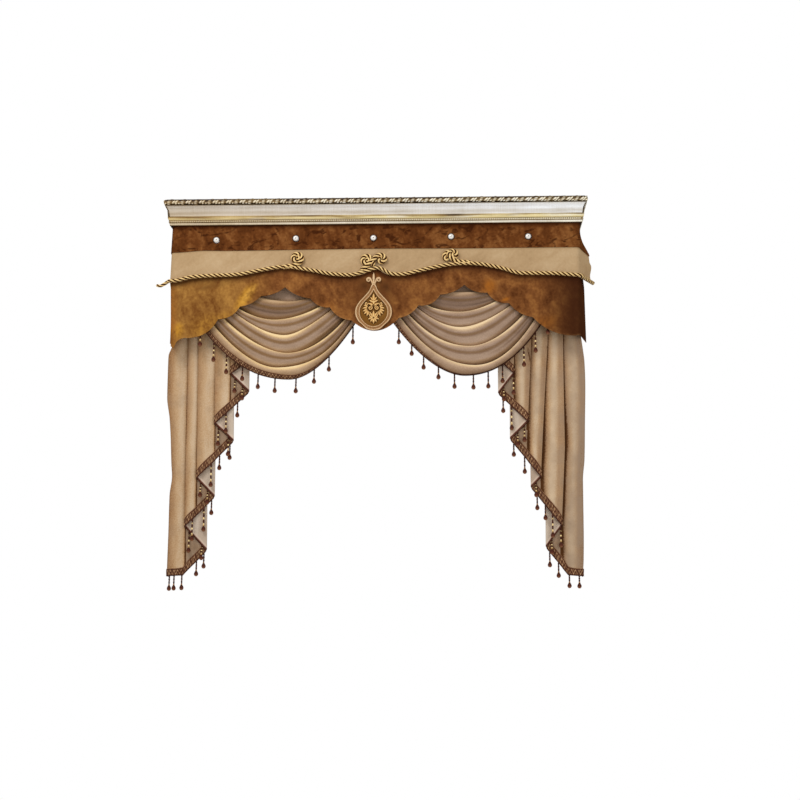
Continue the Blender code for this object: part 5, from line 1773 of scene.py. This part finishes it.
@dataclass
class Swag:
    """One swag: overlapping rolls of satin between fold lines, with a fringed hem."""

    finishes: Finishes
    word: str
    heading_x: tuple
    ends_x: tuple
    lines: tuple
    braid_share: tuple
    drops_x: tuple
    longer: tuple
    creases: tuple
    trough: float = 0.201
    end_trough: float = 0.198
    roll: float = 0.024
    end_roll: float = 0.004
    overlap: float = 0.17
    blush: float = 0.0
    softness: float = 0.13
    last_share: float = 0.62  # of a whole roll, where the hem ends
    # painted shade in the creases
    dent_shade: float = 60.0  # tone lost for each metre of a crease's depth
    dent_warm: float = 40.0  # mauve lost for the same
    first_dim: float = 0.68  # tone of the first fold, in the lambrequin's shade
    swing: float = 0.010
    fold_light_and_shade: tuple = (
        # share of the fold, tone (painted highlight on the crown, painted shade above the next fold), mauve
        (0.00, 0.60, 0.0), (0.05, 0.90, 0.0), (0.08, 1.00, 0.0), (0.10, 0.82, 0.0), (0.12, 0.68, 0.1),
        (0.14, 0.61, 0.3), (0.17, 0.55, 0.6), (0.21, 0.47, 0.6), (0.26, 0.35, 0.0), (0.32, 0.34, 0.0),
        (0.38, 0.44, 0.4), (0.44, 0.60, 0.9), (0.56, 0.62, 0.9), (0.68, 0.66, 0.6), (0.74, 0.60, 0.1),
        (0.83, 0.46, 0.0), (0.92, 0.20, 0.0), (1.00, 0.12, 0.0),
    )
    last_light_and_shade: tuple = (
        (0.00, 0.60, 0.0), (0.06, 1.00, 0.0), (0.13, 0.82, 0.0), (0.22, 0.68, 0.2), (0.40, 0.60, 0.3),
        (0.60, 0.55, 0.3), (1.00, 0.40, 0.0),
    )

    def climb(self, t: Array, power: Array) -> Array:
        """t to a power, rounded near 0 and still 1 at 1."""
        soft, low = self.softness, self.softness**power
        return ((t * t + soft**2) ** (power / 2) - low) / ((1 + soft**2) ** (power / 2) - low)

    def fold_lines(self, across: Array) -> tuple[Array, Array]:
        """x and z of every fold line: each side climbs with its own power from a rounded low point.

        Args:
            across: places from the left end at 0 to the right end at 1.

        Returns:
            Both, a row for each line.
        """
        lines = np.array(self.lines, float)
        first, last = np.array(self.ends_x, float)
        share = np.arange(len(lines))[:, None] / (len(lines) - 1)
        left_x, right_x = (first[k] + (last[k] - first[k]) * share for k in (0, 1))
        low_x, low_z, left_z, left_power, right_z, right_power = lines.T[..., None]
        x = left_x + (right_x - left_x) * across
        left = self.climb(np.clip((low_x - x) / (low_x - left_x), 0, 1), left_power)
        right = self.climb(np.clip((x - low_x) / (right_x - low_x), 0, 1), right_power)
        return x * MM, (low_z + (left_z - low_z) * left + (right_z - low_z) * right) * MM

    def dents(self, fold: int, s: Array, across: Array) -> Array:
        """Depth of a fold's creases: each is a bell down the fold times a bell along it.

        Args:
            fold: number of the fold.
            s: share of the way down it.
            across: places along it.

        Returns:
            The depth in metres.
        """
        deep = 0.0 * s * across
        for at_fold, place, width, most, centre, reach in self.creases:
            if at_fold == fold:
                deep = deep + most * MM * bell(s, place, width) * bell(across, centre, reach)
        return deep

    def surface(self) -> tuple[Array, Array, Array]:
        """Middle surface of the cloth.

        From each fold line the cloth steps out and a little up, rolls over and sinks back to the
        trough above the next line: out = sin(pi s^0.5), down = s - overlap exp(-((s - 0.07)/0.07)^2).

        Returns:
            Grid of points, and the tone and mauve of each.
        """
        across = np.linspace(0, 1, 191)
        across = across - 0.03 * np.sin(TURN * across)
        xs, zs = self.fold_lines(across)
        middle = np.sin(math.pi * across) ** 0.6
        trough = self.end_trough + (self.trough - self.end_trough) * middle
        roll = self.end_roll + (self.roll - self.end_roll) * middle
        left_x, right_x = (v * MM for v in self.heading_x)
        top = grid_of(left_x + (right_x - left_x) * across, trough, HANGING.heading_top)
        fall = np.linspace(0, 1, 16, endpoint=False)[:, None] + 0.0 * across
        grids = [top + (grid_of(xs[0], trough, zs[0]) - top) * fall[..., None]]
        # painted shade under the lambrequin, darkest at the top of the swag
        tones = [0.55 * ease((fall - 0.40) / 0.40)]
        mauves = [0.9 * ease((fall - 0.30) / 0.3)]
        ends = np.sin(math.pi * np.clip(across, 0.02, 0.98)) ** 0.7
        end_gap_shade = np.clip(2.0 * (1 - ends), 0, 1)
        near = np.linspace(0, 0.3, 15, endpoint=False)
        s = np.concatenate([near, np.linspace(0.3, 1, 15, endpoint=False)])[:, None]
        for fold in range(len(xs) - 1):
            last = fold == len(xs) - 2
            out = np.sin(math.pi * (s * (self.last_share if last else 1.0)) ** 0.5) ** 0.9
            down = s - self.overlap * middle * bell(s, 0.07, 0.07)
            dent = self.dents(fold, s, across)
            wave = 0.5 * MM * np.sin(17 * across + 4 * s + 2.1 * fold) * middle * np.sin(math.pi * s)
            x = xs[fold] + (xs[fold + 1] - xs[fold]) * s
            z = zs[fold] + (zs[fold + 1] - zs[fold]) * down
            grids.append(grid_of(x, trough + roll * out - dent + wave, z))
            rows = np.array(self.last_light_and_shade if last else self.fold_light_and_shade)
            place = np.clip(s + 0.03 * np.sin(11 * across + 2.7 * fold), 0, 1)
            tone, cool = (np.interp(place, rows[:, 0], rows[:, k]) for k in (1, 2))
            # painted shade in the dip above each next fold, deepest near the swag's ends, and dimmer towards
            # the ends
            hollow_shade = np.clip(bell(s, 0.90, 0.24) + bell(s, 0.0, 0.03), 0, 1) * (not last)
            shade = (0.66 + 0.34 * ends) * (1 - 0.92 * hollow_shade * end_gap_shade) * (1.0 if fold else self.first_dim)
            tones.append(np.clip(tone * shade - self.dent_shade * dent, 0, 1))
            mauves.append(cool - self.dent_warm * dent + self.blush)
        turned = np.interp(across, (0.0, 0.5, 1.0), self.braid_share)
        hem_out = trough + roll * np.sin(math.pi * self.last_share**0.5) ** 0.9 * turned
        x, depth, z = np.concatenate([*grids, grid_of(xs[-1], hem_out, zs[-1])[None]]).transpose(2, 0, 1)
        points = grid_of(x, -np.minimum(depth, HANGING.depth(x, z) - LAYER), z)
        tone, mauve = (np.concatenate([*rows, rows[-1][-1:]]) for rows in (tones, mauves))
        return points, tone, np.clip(mauve, 0, 1)

    def fringe(self, cloth: Array, normal: Array) -> tuple[Body, Body]:
        """Braid in front of the hem and its drops.

        Args:
            cloth: the cloth's middle surface.
            normal: its forward normals.

        Returns:
            The braid and the drops.
        """
        fringe = Fringe()
        cut = slice(3, -3)
        rows, facing = cloth[::-1][:26, cut], normal[::-1][:26, cut]
        rise = climb_down(rows)
        thirds = (0.0, 0.5, 1.0)
        share = np.interp(np.linspace(0, 1, cloth.shape[1])[cut], thirds, self.braid_share)
        width = np.maximum(share * fringe.width - fringe.overhang, 0.35 * fringe.overhang)
        wanted = np.linspace(0, 1, 11)[:, None] * width
        k = np.clip(np.sum(rise[None] <= wanted[:, None], axis=1) - 1, 0, len(rows) - 2)
        column = np.arange(rows.shape[1])
        low, high = rise[k, column], rise[k + 1, column]
        t = ((wanted - low) / np.maximum(high - low, 1e-9))[..., None]
        points, out = (grid[k, column] * (1 - t) + grid[k + 1, column] * t for grid in (rows, facing))
        out = unit(out)
        below = unit(rows[0] - rows[3]) * fringe.overhang
        points = np.concatenate([(points[0] + below)[None], (points[0] + 0.5 * below)[None], points])
        out = np.concatenate([out[:1], out[:1], out])
        grid = (points + out * (CLOTH / 2 + 2 * GAP + fringe.thick / 2))[::-1]
        grid, out = self.denser(grid), self.denser(out[::-1])
        reach = np.interp(np.linspace(0, 1, grid.shape[1]), thirds, self.braid_share)
        tops = read_at(grid[-1][:, 0], grid[-1], np.array(self.drops_x) * MM)
        bright = (np.abs(self.drops_x) > 600) * 1.0
        drops = fringe.drops(tops, np.full(len(tops), self.swing), np.array(self.longer, float), bright)
        return fringe.braid(grid, unit(out), reach), drops

    def denser(self, grid: Array, times: int = 3) -> Array:
        """A grid with more columns, straight between its own.

        Args:
            grid: rows and columns of points.
            times: new columns for each old one.

        Returns:
            The denser grid.
        """
        count = grid.shape[1]
        at = np.linspace(0, count - 1, (count - 1) * times + 1)
        k = np.minimum(at.astype(int), count - 2)
        t = (at - k)[None, :, None]
        return grid[:, k] * (1 - t) + grid[:, k + 1] * t

    def build(self) -> None:
        """Make the swag, its braid and its drops."""
        points, tone, mauve = self.surface()
        normal = grid_normals(points)
        normal = normal * -np.sign(np.sum(normal[..., 1]))
        uv = grid_of(run_along(points[len(points) // 2]), climb_down(points))
        body = sheet_body(points, CLOTH, uv, {"tone": tone, "mauve": mauve}, normal)
        name = f"swag_{self.word}"
        cloth = self.finishes.dress(f"{name}_satin", [body], Finish.SATIN, name, sharp=80)
        trims = trimmed(self.finishes, name, *self.fringe(points, normal))


# ---------------------------------------------------------------- jabots


@dataclass
class Jabot:
    """One cascade: nine layers zigzagging from the wall side inwards, with a stepped hem."""

    finishes: Finishes
    word: str
    side: int
    hem_corner: tuple
    hem_outer: float
    folds: tuple
    inner: tuple
    marks: tuple
    longer: dict
    edge_wave: tuple
    leans: dict
    strip_light_and_shade: tuple
    groove_shadow_reach: float
    groove_shadow_depth: float
    crease_lines: tuple
    return_depth: float = 0.045
    half_width: float = 858.5
    heading_depth: float = 0.1643
    heading_pitch: float = 3.55 * MM
    hang_depth: float = 0.136
    face_pitch: float = 8.6 * MM
    back_pitch: float = 5.5 * MM
    layers: int = 9
    corner: float = 12.0
    free_from: float = 0.055
    loose_from: float = 0.300
    setback: float = 3.0
    outer_swell: float = 7.5 * MM
    inner_swell: float = 3.2 * MM
    crease_depth: float = 2.5 * MM
    swings: tuple = (0.012, 0.006)  # of the drops on the layers turned back and on those that face out

    def layer_depth(self, layer: Array, z: Array) -> Array:
        """Depth of a layer, whole or between two: pressed at the heading, looser where it hangs.

        Args:
            layer: number of the layer, with the share of its turn to the next.
            z: height.

        Returns:
            The depth.
        """
        loose = np.clip((-z - self.free_from) / (self.loose_from - self.free_from), 0, 1)
        number = np.arange(self.layers)
        hung = self.hang_depth + (number + 1) // 2 * self.face_pitch + number // 2 * self.back_pitch
        pressed = self.heading_depth + number * self.heading_pitch
        flat = np.interp(layer, number, pressed)
        open_ = np.interp(layer, number, hung)
        return flat + (open_ - flat) * loose

    def columns(self) -> Array:
        """Section columns from the wall end inwards.

        Returns:
            Rows of distance from the middle (mm), layer with its share of the turn to the next,
            depth that overrides it (or -1), hem height (mm), share of the edge's wave, swell share,
            and fold: 1 on the first fold, 1.5 half way to the second, and so on.
        """
        outer, rounded = self.half_width, self.half_width - self.corner
        reach = self.hang_depth - self.corner * MM - self.return_depth
        depth = self.return_depth + reach * np.linspace(0, 1, 14, endpoint=False)
        a = np.radians(np.linspace(0, 90, 9))
        x, back = outer - self.corner * (1 - np.cos(a)), self.corner * (1 - np.sin(a)) * MM
        rows = [
            grid_of(outer, 0.0, depth, self.hem_outer, 1.0, 0.0, 0.0),
            grid_of(x, -back, -1.0, self.hem_outer, 1.0, 0.0, 0.0),
        ]
        t = np.linspace(0, 1, 14)[1:]
        x = rounded + (self.hem_corner[0] - rounded) * t
        z = self.hem_outer + (self.hem_corner[1] - self.hem_outer) * t
        rows.append(grid_of(x, 0.0, -1.0, z, 1.0 - 0.4 * ease(t), self.strip(0, x), 0.5 * t))
        places = [self.hem_corner, *self.folds, self.inner]
        a = np.radians(np.linspace(0, 180, 11))[1:]
        for layer, (start, end) in enumerate(zip(places, places[1:])):
            setback = self.setback if end[0] > start[0] else -self.setback
            begin = start[0] + setback * (layer > 0)
            stop = end[0] - setback * (layer < self.layers - 1)
            slope = (end[1] - start[1]) / (end[0] - start[0])
            t = np.linspace(0, 1, 16 if layer % 2 else 30)[1:]
            x = begin + (stop - begin) * t
            z = start[1] + (x - start[0]) * slope
            wave = 0.6 * (1 - ease(t)) * (layer == 0)
            fold = layer + (t if layer else 0.5 + 0.5 * t)
            rows.append(grid_of(x, layer, -1.0, z, wave, self.strip(layer, x), fold))
            if layer < self.layers - 1:
                x = stop + setback * np.sin(a)
                z = end[1] - slope * setback * (1 - np.sin(a)) * np.cos(a)
                rows.append(grid_of(x, layer + 0.5 - 0.5 * np.cos(a), -1.0, z, 0.0, 0.0, layer + 1.0))
        return np.concatenate(rows)

    def outwards(self, edge: Array, fold: Array, z: Array) -> Array:
        """How far columns move outwards at a height, with the outer edge and the folds next to them.

        Args:
            edge: share of the outer edge's wave.
            fold: place among the folds.
            z: height.

        Returns:
            The move in metres.
        """
        moved = edge * smooth_table(np.array(self.edge_wave) * MM, -z)
        for number, rows in self.leans.items():
            near = np.maximum(0.0, 1.0 - np.abs(fold - number))
            moved = moved + near * np.interp(-z, *(np.array(rows).T * MM))
        return moved

    def strip(self, layer: int, x: Array) -> Array:
        """Swell of a face layer across the strip of it that shows, 0 to 1: sin(pi t^0.8).

        Args:
            layer: number of the layer.
            x: distance from the middle.

        Returns:
            The swell, 0 on a turned layer.
        """
        inner = self.inner[0]
        ends = [self.half_width - self.corner, *(row[0] for row in self.folds), inner, inner]
        t = (ends[layer] - x) / (ends[layer] - ends[layer + 2 - layer % 2])
        return np.sin(math.pi * np.clip(t, 0, 1) ** 0.8) * (layer % 2 == 0)

    def fold_at(self, number: int, z: Array) -> Array:
        """Distance from the middle of a fold at a height: 0 is the outer edge, 9 the inner one.

        Args:
            number: the fold.
            z: height.

        Returns:
            The distance.
        """
        if number == 0:
            return self.half_width * MM + smooth_table(np.array(self.edge_wave) * MM, -z)
        distance = (*self.folds, self.inner)[number - 1][0] * MM
        return distance + self.outwards(0.0, number, z)

    def shade(self, x: Array, z: Array, layer: Array) -> tuple[Array, Array]:
        """Painted light and shade with greyness: lit and shaded tones across each strip, painted shadow
        beside the next pleat and painted shade under it.

        Args:
            x: distance from the middle.
            z: height.
            layer: number of the layer.

        Returns:
            Both, a value for each point.
        """
        tone = np.full(x.shape, 0.62)
        cool = np.zeros(x.shape)
        table = np.array(self.strip_light_and_shade)
        for k in range(0, self.layers, 2):
            outer, inner = self.fold_at(k, z), self.fold_at(min(k + 2, self.layers), z)
            t = (outer - x) / (outer - inner)
            strip, grey = (np.interp(t, table[:, 0], table[:, c]) for c in (1, 2))
            if k:
                strip, grey = strip + 0.10 * (1 - t), 0.50 * grey
            if k + 2 < self.layers:
                reach = self.groove_shadow_reach * MM
                deep = self.groove_shadow_depth * (0.7 + 0.6 * ease((-z - 0.70) / 0.30))
                groove = 0.45 * bell(x, inner, 3.0 * MM) + deep * bell(x, inner, reach)
                strip = np.where(t > 1.03, 0.36, strip - groove)
                grey = np.where(t > 1.03, 0.9, grey)
            own = np.abs(layer - k) < 0.5
            tone, cool = np.where(own, strip, tone), np.where(own, grey, cool)
        return tone, cool

    def creases(self, x: Array, z: Array, layer: Array) -> Array:
        """Depth of the slanting creases, 0 to 1: each is a narrow line that fades at its ends.

        Args:
            x: distance from the middle.
            z: height.
            layer: number of the layer.

        Returns:
            The depth.
        """
        deep = np.zeros(x.shape)
        for number, x0, z0, x1, z1, width, share in self.crease_lines:
            start, end = np.array((x0, z0)) * MM, np.array((x1, z1)) * MM
            reach = end - start
            along = ((x - start[0]) * reach[0] + (z - start[1]) * reach[1]) / (reach @ reach)
            aside = ((x - start[0]) * reach[1] - (z - start[1]) * reach[0]) / np.hypot(*reach)
            line = bell(aside, 0.0, width * MM) * ease(along / 0.15) * ease((1 - along) / 0.5)
            deep = np.maximum(deep, share * line * (np.abs(layer - number) < 0.3))
        return deep

    def surface(self) -> tuple[Array, dict[str, Array]]:
        """Middle surface of the cloth, with its marks.

        Returns:
            Its grid of points, and its marks by name.
        """
        x0, layer, fixed, hem, edge, swell, fold = self.columns().T
        hem = hem * MM
        share = np.concatenate([np.linspace(0, 0.985, 118, endpoint=False), np.linspace(0.985, 1, 7)])
        z = HANGING.heading_top + (hem - HANGING.heading_top) * share[:, None]
        loose = ease((-z - 0.16) / 0.30)
        sway = 1.2 * MM * np.sin(5.0 * z + 0.9 * layer) * loose * np.clip((self.half_width - x0) / 60.0, 0, 1)
        x = x0 * MM + self.outwards(edge, fold, z) + sway
        layers = np.broadcast_to(layer, z.shape)
        depth = self.layer_depth(layers.clip(0), z) + np.minimum(layer, 0.0)
        gather = 1.0 + 0.25 * np.sin(6.0 * z + 1.7 * layer)
        amount = np.where(layer > 5.5, self.inner_swell, self.outer_swell)
        crease = self.creases(x, z, layers)
        depth = depth + amount * swell * loose * gather - self.crease_depth * crease
        points = grid_of(self.side * x, -np.where(fixed >= 0, fixed, depth), z)
        tone, cool = self.shade(x - sway, z, layers)
        # painted shade: tone drops near the top, under the bands, and along the creases
        tone = tone - 0.10 * (1 - loose) - 0.75 * crease
        up = z - hem
        hems = {"hem": ease((0.0085 - up) / 0.004), "rim": 0.6 * bell(up, 0.012, 0.003)}
        return points, {"tone": tone, "cool": cool} | hems

    def fringe(self, points: Array) -> tuple[Body, Body]:
        """Braid on the face of the cloth along the stepped hem, and its drops.

        Args:
            points: the cloth's middle surface.

        Returns:
            The braid and the drops.
        """
        fringe = Fringe()
        line = points[-1]
        run = run_along(line * (1, 1, 0))
        slope = np.abs(np.gradient(line[:, 2], run))
        slope = np.convolve(np.pad(slope, 6, mode="edge"), np.ones(13) / 13, mode="valid")
        tall = fringe.width * np.sqrt(1 + np.minimum(slope, 1.5) ** 2)
        facing = -self.side * plan_normals(line[None])[0]
        middle = line + facing * (CLOTH / 2 + 2 * GAP + fringe.thick / 2)
        grid = np.repeat(middle[None], 13, axis=0)
        grid[..., 2] += (tall + fringe.overhang) * np.linspace(1, 0, 13)[:, None] - fringe.overhang
        layer, edge, fold = self.columns()[:, [1, 4, 6]].T
        moved = self.outwards(edge, fold, grid[..., 2]) - self.outwards(edge, fold, line[:, 2])
        grid[..., 0] += self.side * moved
        at = np.arange(0, run[-1], 0.0016)
        out = np.repeat(unit(read_at(run, facing, at))[None], 13, axis=0)
        braid = fringe.braid(np.stack([read_at(run, row, at) for row in grid]), out)
        rows = []
        for number, distances in self.marks:
            member = np.flatnonzero(np.abs(layer - (number - 1)) < 0.02)
            member = member[np.argsort(np.abs(line[member, 0]))]
            for distance in distances:
                top = read_at(np.abs(line[member, 0]), grid[-1][member], distance * MM)
                longer = self.longer.get(distance, 0.0)
                rows.append((*top, self.swings[number % 2], longer, number % 2 == 0 or longer > 12))
        rows = np.array(rows, float)
        return braid, fringe.drops(rows[:, :3], *rows[:, 3:].T)

    def build(self) -> None:
        """Make the jabot, its braid and its drops."""
        points, marks = self.surface()
        uv = grid_of(run_along(points[60] * (1, 1, 0)), points[..., 2])
        body = sheet_body(points, CLOTH, uv, marks, plan_normals(points) * -self.side)
        name = f"jabot_{self.word}"
        cloth = self.finishes.dress(f"{name}_velvet", [body], Finish.CASCADE, name, sharp=80)
        trims = trimmed(self.finishes, name, *self.fringe(points))


LEFT_SWAG = dict(
    word="left", heading_x=(-780, -45), ends_x=((-770, -45), (-800, -28)),
    lines=(
        # low_x, low_z, left_z, left_power, right_z, right_power
        (-362, -396, -190, 1.98, -235, 1.53), (-415, -473, -215, 1.93, -255, 1.82),
        (-380, -540, -245, 1.65, -285, 1.44), (-370, -615, -285, 1.73, -340, 1.93),
        (-410, -674, -335, 1.75, -352, 2.50), (-360, -714, -394, 2.25, -382, 1.75),
    ),
    braid_share=(1.30, 0.92, 0.12),
    drops_x=(-737, -679, -624, -556, -490, -419, -331, -255, -193, -93),
    longer=(27, 22, 21, 0, 2, 1, 2, 0, 4, 15),
    creases=(
        # fold, place, width, depth mm, centre, reach
        (0, 0.55, 0.06, 3.0, 0.45, 0.22), (1, 0.50, 0.07, 2.5, 0.80, 0.16), (2, 0.55, 0.06, 3.5, 0.84, 0.10),
        (2, 0.75, 0.05, 2.5, 0.78, 0.12), (3, 0.60, 0.06, 2.0, 0.22, 0.14), (1, 0.72, 0.05, 2.0, 0.25, 0.12),
        (0, 0.40, 0.03, 3.0, 0.12, 0.09), (0, 0.74, 0.03, 2.6, 0.14, 0.08), (1, 0.40, 0.03, 3.0, 0.12, 0.08),
        (2, 0.48, 0.03, 3.0, 0.14, 0.09), (3, 0.34, 0.03, 2.6, 0.10, 0.07), (4, 0.55, 0.03, 2.4, 0.12, 0.08),
        (0, 0.42, 0.03, 3.0, 0.88, 0.08), (1, 0.72, 0.03, 3.0, 0.87, 0.08), (2, 0.36, 0.03, 3.0, 0.88, 0.07),
        (3, 0.55, 0.03, 2.6, 0.87, 0.08),
    ),
)
RIGHT_SWAG = dict(
    word="right", heading_x=(40, 750), ends_x=((40, 740), (22, 770)), blush=0.35,
    lines=(
        (380, -362, -185, 2.50, -185, 2.50), (360, -445, -215, 2.30, -210, 1.66),
        (362, -511, -250, 1.83, -235, 1.70), (400, -592, -290, 2.06, -265, 1.84),
        (418, -668, -330, 2.10, -300, 2.05), (380, -702, -391, 1.80, -360, 2.22),
    ),
    braid_share=(0.95, 0.40, 0.42),
    drops_x=(101, 155, 205, 267, 334, 413, 475, 535, 625, 674, 726),
    longer=(0, -14, -4, -8, 2, 1, 11, 18, 25, 25, 25),
    creases=(
        (0, 0.60, 0.06, 2.5, 0.60, 0.20), (1, 0.55, 0.07, 2.5, 0.22, 0.14), (2, 0.60, 0.06, 3.0, 0.18, 0.12),
        (3, 0.55, 0.06, 3.0, 0.80, 0.12), (2, 0.70, 0.05, 2.5, 0.78, 0.12), (0, 0.40, 0.03, 3.0, 0.12, 0.09),
        (0, 0.76, 0.03, 2.6, 0.14, 0.08), (1, 0.74, 0.03, 3.0, 0.12, 0.08), (2, 0.36, 0.03, 3.0, 0.13, 0.09),
        (3, 0.52, 0.03, 2.6, 0.12, 0.07), (0, 0.45, 0.03, 3.0, 0.88, 0.08), (1, 0.42, 0.03, 3.0, 0.87, 0.08),
        (2, 0.45, 0.03, 3.0, 0.88, 0.07), (3, 0.36, 0.03, 2.6, 0.87, 0.08), (4, 0.50, 0.03, 2.4, 0.88, 0.08),
    ),
)
LEFT_JABOT = dict(
    word="left", side=-1, hem_corner=(797, -1530), hem_outer=-1533,
    folds=(
        # distance, hem
        (708, -1427), (799, -1330), (675, -1206), (752, -1127), (598, -972), (676, -899), (531, -766),
        (611, -689),
    ),
    inner=(478, -594),
    marks=(
        # layer, distances of its drops
        (1, (862, 842, 811, 750, 719)), (2, (782, 728)), (3, (768, 720, 688)), (4, (735, 705)),
        (5, (690, 655, 612)), (6, (661, 618)), (7, (628, 580)), (8, (592, 560)),
    ),
    longer={782: 27, 768: 29, 720: 37, 690: 36, 661: 17, 618: 20, 628: 22},
    edge_wave=(
        # drop, outwards
        (300, 0), (530, 3), (565, 14), (605, 28), (780, 30), (870, 18), (950, 12), (1060, 7), (1120, 3),
        (1200, 12), (1360, 14), (1533, 17),
    ),
    leans={},
    strip_light_and_shade=(
        # share of the strip from its outer end, tone (painted light and shade across the pleat), greyness
        (0.00, 0.22, 0.2), (0.10, 0.30, 0.1), (0.30, 0.48, 0.0), (0.55, 0.70, 0.0), (0.75, 0.80, 0.0),
        (0.92, 0.66, 0.0), (1.00, 0.55, 0.0),
    ),
    groove_shadow_reach=6.0,
    groove_shadow_depth=0.30,
    crease_lines=(
        # layer, x and z of both ends, width, depth share
        (8, -560, -560, -505, -660, 3.0, 0.7), (8, -505, -520, -540, -640, 3.0, 0.6),
        (6, -625, -560, -590, -680, 3.0, 0.6), (4, -690, -600, -672, -760, 3.0, 0.4),
    ),
)
RIGHT_JABOT = dict(
    word="right", side=1, hem_corner=(799, -1531), hem_outer=-1535,
    folds=(
        (711, -1417), (775, -1330), (650, -1171), (692, -1127), (566, -969), (639, -896), (516, -778),
        (583, -693),
    ),
    inner=(483, -600),
    marks=(
        (1, (846, 806, 762, 726)), (2, (778, 735)), (3, (739, 710, 676)), (4, (672,)), (5, (625, 580)),
        (6, (625, 597)), (7, (572, 537)), (8, (582, 540)),
    ),
    longer={846: -10, 806: -8, 778: 22, 739: 36, 625: 9, 580: -8, 572: 40, 582: 25},
    edge_wave=(
        (300, 0), (500, 8), (585, 18), (640, 24), (720, 26), (900, 22), (1050, 18), (1140, 10),
        (1360, 10), (1470, 8), (1533, 5),
    ),
    leans={
        # fold: its lean at two drops
        2: [(1000, 18), (1330, 0)], 4: [(550, 34), (1127, 0)], 6: [(550, 17), (896, 0)],
    },
    strip_light_and_shade=(
        (0.00, 0.30, 0.9), (0.24, 0.36, 0.9), (0.36, 0.70, 0.6), (0.52, 0.98, 0.5), (0.75, 0.86, 0.45),
        (0.90, 0.66, 0.5), (1.00, 0.56, 0.5),
    ),
    groove_shadow_reach=25.0,
    groove_shadow_depth=0.62,
    crease_lines=(
        (4, 722, -575, 757, -660, 3.5, 1.0), (4, 730, -560, 770, -600, 3.0, 0.6),
        (8, 590, -670, 545, -800, 3.0, 0.8), (8, 560, -640, 585, -760, 3.0, 0.6),
        (6, 640, -580, 665, -700, 3.0, 0.6),
    ),
)


# ---------------------------------------------------------------- boards and stage


@dataclass
class Boards:
    """The wall batten, top board and heading rail keep their shapes and get their timber."""

    finishes: Finishes
    nodes: tuple = ("wall_batten", "top_board", "heading_rail")

    def build(self) -> None:
        """Put the timber on the boards."""
        for node in self.nodes:
            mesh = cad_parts[node].data
            mesh.materials.clear()
            mesh.materials.append(self.finishes.materials[Finish.TIMBER])
            log.info("%s: timber", node)


@dataclass
class Stage:
    """Pale floor, soft lights, white surroundings and the camera."""

    floor_z: float = -2.75
    floor_radius: float = 2.2
    camera_place: tuple = (0.367, -7.040, -1.749)
    camera_turn: tuple = (97.83, 0.0, 2.19)
    lens: float = 74.25
    ambient: float = 0.62
    # name, place, target, size, power
    lights: tuple = (
        ("key", (-1.6, -2.6, 1.9), (0.0, -0.2, -0.7), 1.6, 58.0),
        ("fill", (2.4, -3.4, -0.4), (0.0, -0.2, -0.6), 2.4, 26.0),
    )

    def floor(self) -> None:
        """A round pale floor, its rim rounded down."""
        radius = np.array([0.02, 0.5, 1.0, 1.6, 2.1, 2.19, self.floor_radius, 2.19, 0.02])
        height = np.array([0, 0, 0, 0, 0, -0.004, -0.012, -0.02, -0.02])
        angle = np.linspace(0, TURN, 96, endpoint=False)
        wide = radius[:, None]
        rings = grid_of(wide * np.cos(angle), wide * np.sin(angle), height[:, None] + self.floor_z)
        uv = np.zeros((len(radius), 97, 2))
        paint = Paint("floor_plaster", roughness=0.8)
        cloud = paint.noise(paint.place(), 3.0, 4.0)
        plaster = paint.done(paint.ramp(cloud, scale_of((0.3, 236, 234, 230), (0.7, 244, 243, 240))))
        floor = make_piece("floor", [carried_body(rings, uv, {})], plaster)

    def world(self) -> None:
        """White to the eye, softer as light."""
        world = bpy.data.worlds.new("studio")
        bpy.context.scene.world = world
        world.use_nodes = True
        tree = world.node_tree
        soft = tree.nodes["Background"]
        soft.inputs["Color"].default_value = (1.0, 0.985, 0.96, 1.0)
        soft.inputs["Strength"].default_value = self.ambient
        seen = tree.nodes.new("ShaderNodeBackground")
        seen.inputs["Color"].default_value = (1.0, 1.0, 1.0, 1.0)
        ray = tree.nodes.new("ShaderNodeLightPath")
        mixed = tree.nodes.new("ShaderNodeMixShader")
        tree.links.new(ray.outputs["Is Camera Ray"], mixed.inputs[0])
        tree.links.new(soft.outputs[0], mixed.inputs[1])
        tree.links.new(seen.outputs[0], mixed.inputs[2])
        tree.links.new(mixed.outputs[0], tree.nodes["World Output"].inputs["Surface"])
        bpy.context.scene.view_settings.view_transform = "Standard"

    def light(self, name: str, place: tuple, target: tuple, size: float, power: float) -> None:
        """One soft area light aimed at a point.

        Args:
            name: its name.
            place: where it stands.
            target: the point.
            size: its diameter.
            power: its power in watts.
        """
        data = bpy.data.lights.new(name, "AREA")
        data.shape = "DISK"
        data.size = size
        data.energy = power
        lamp = bpy.data.objects.new(name, data)
        bpy.context.scene.collection.objects.link(lamp)
        lamp.location = place
        aim = np.array(target) - np.array(place)
        pitch = math.acos(-aim[2] / np.linalg.norm(aim))
        lamp.rotation_euler = (pitch, 0.0, math.atan2(aim[1], aim[0]) - math.pi / 2)

    def camera(self) -> None:
        """The camera."""
        data = bpy.data.cameras.new("camera")
        data.lens = self.lens
        eye = bpy.data.objects.new("camera", data)
        bpy.context.scene.collection.objects.link(eye)
        eye.location = self.camera_place
        eye.rotation_euler = tuple(math.radians(a) for a in self.camera_turn)
        bpy.context.scene.camera = eye

    def build(self) -> None:
        """Set the stage."""
        self.floor()
        self.world()
        for row in self.lights:
            self.light(*row)
        self.camera()


def main() -> None:
    """Build the whole valance on its stage."""
    logging.basicConfig(level=logging.INFO, format="%(name)s: %(message)s")
    finishes = Finishes()
    Stage().build()
    Boards(finishes).build()
    Cornice(finishes).build()
    Bands(finishes).build()
    Rope(finishes).build()
    Studs(finishes).build()
    Medallion(finishes).build()
    for table in (LEFT_SWAG, RIGHT_SWAG):
        Swag(finishes, **table).build()
    for table in (LEFT_JABOT, RIGHT_JABOT):
        Jabot(finishes, **table).build()


if __name__ == "__main__":
    main()
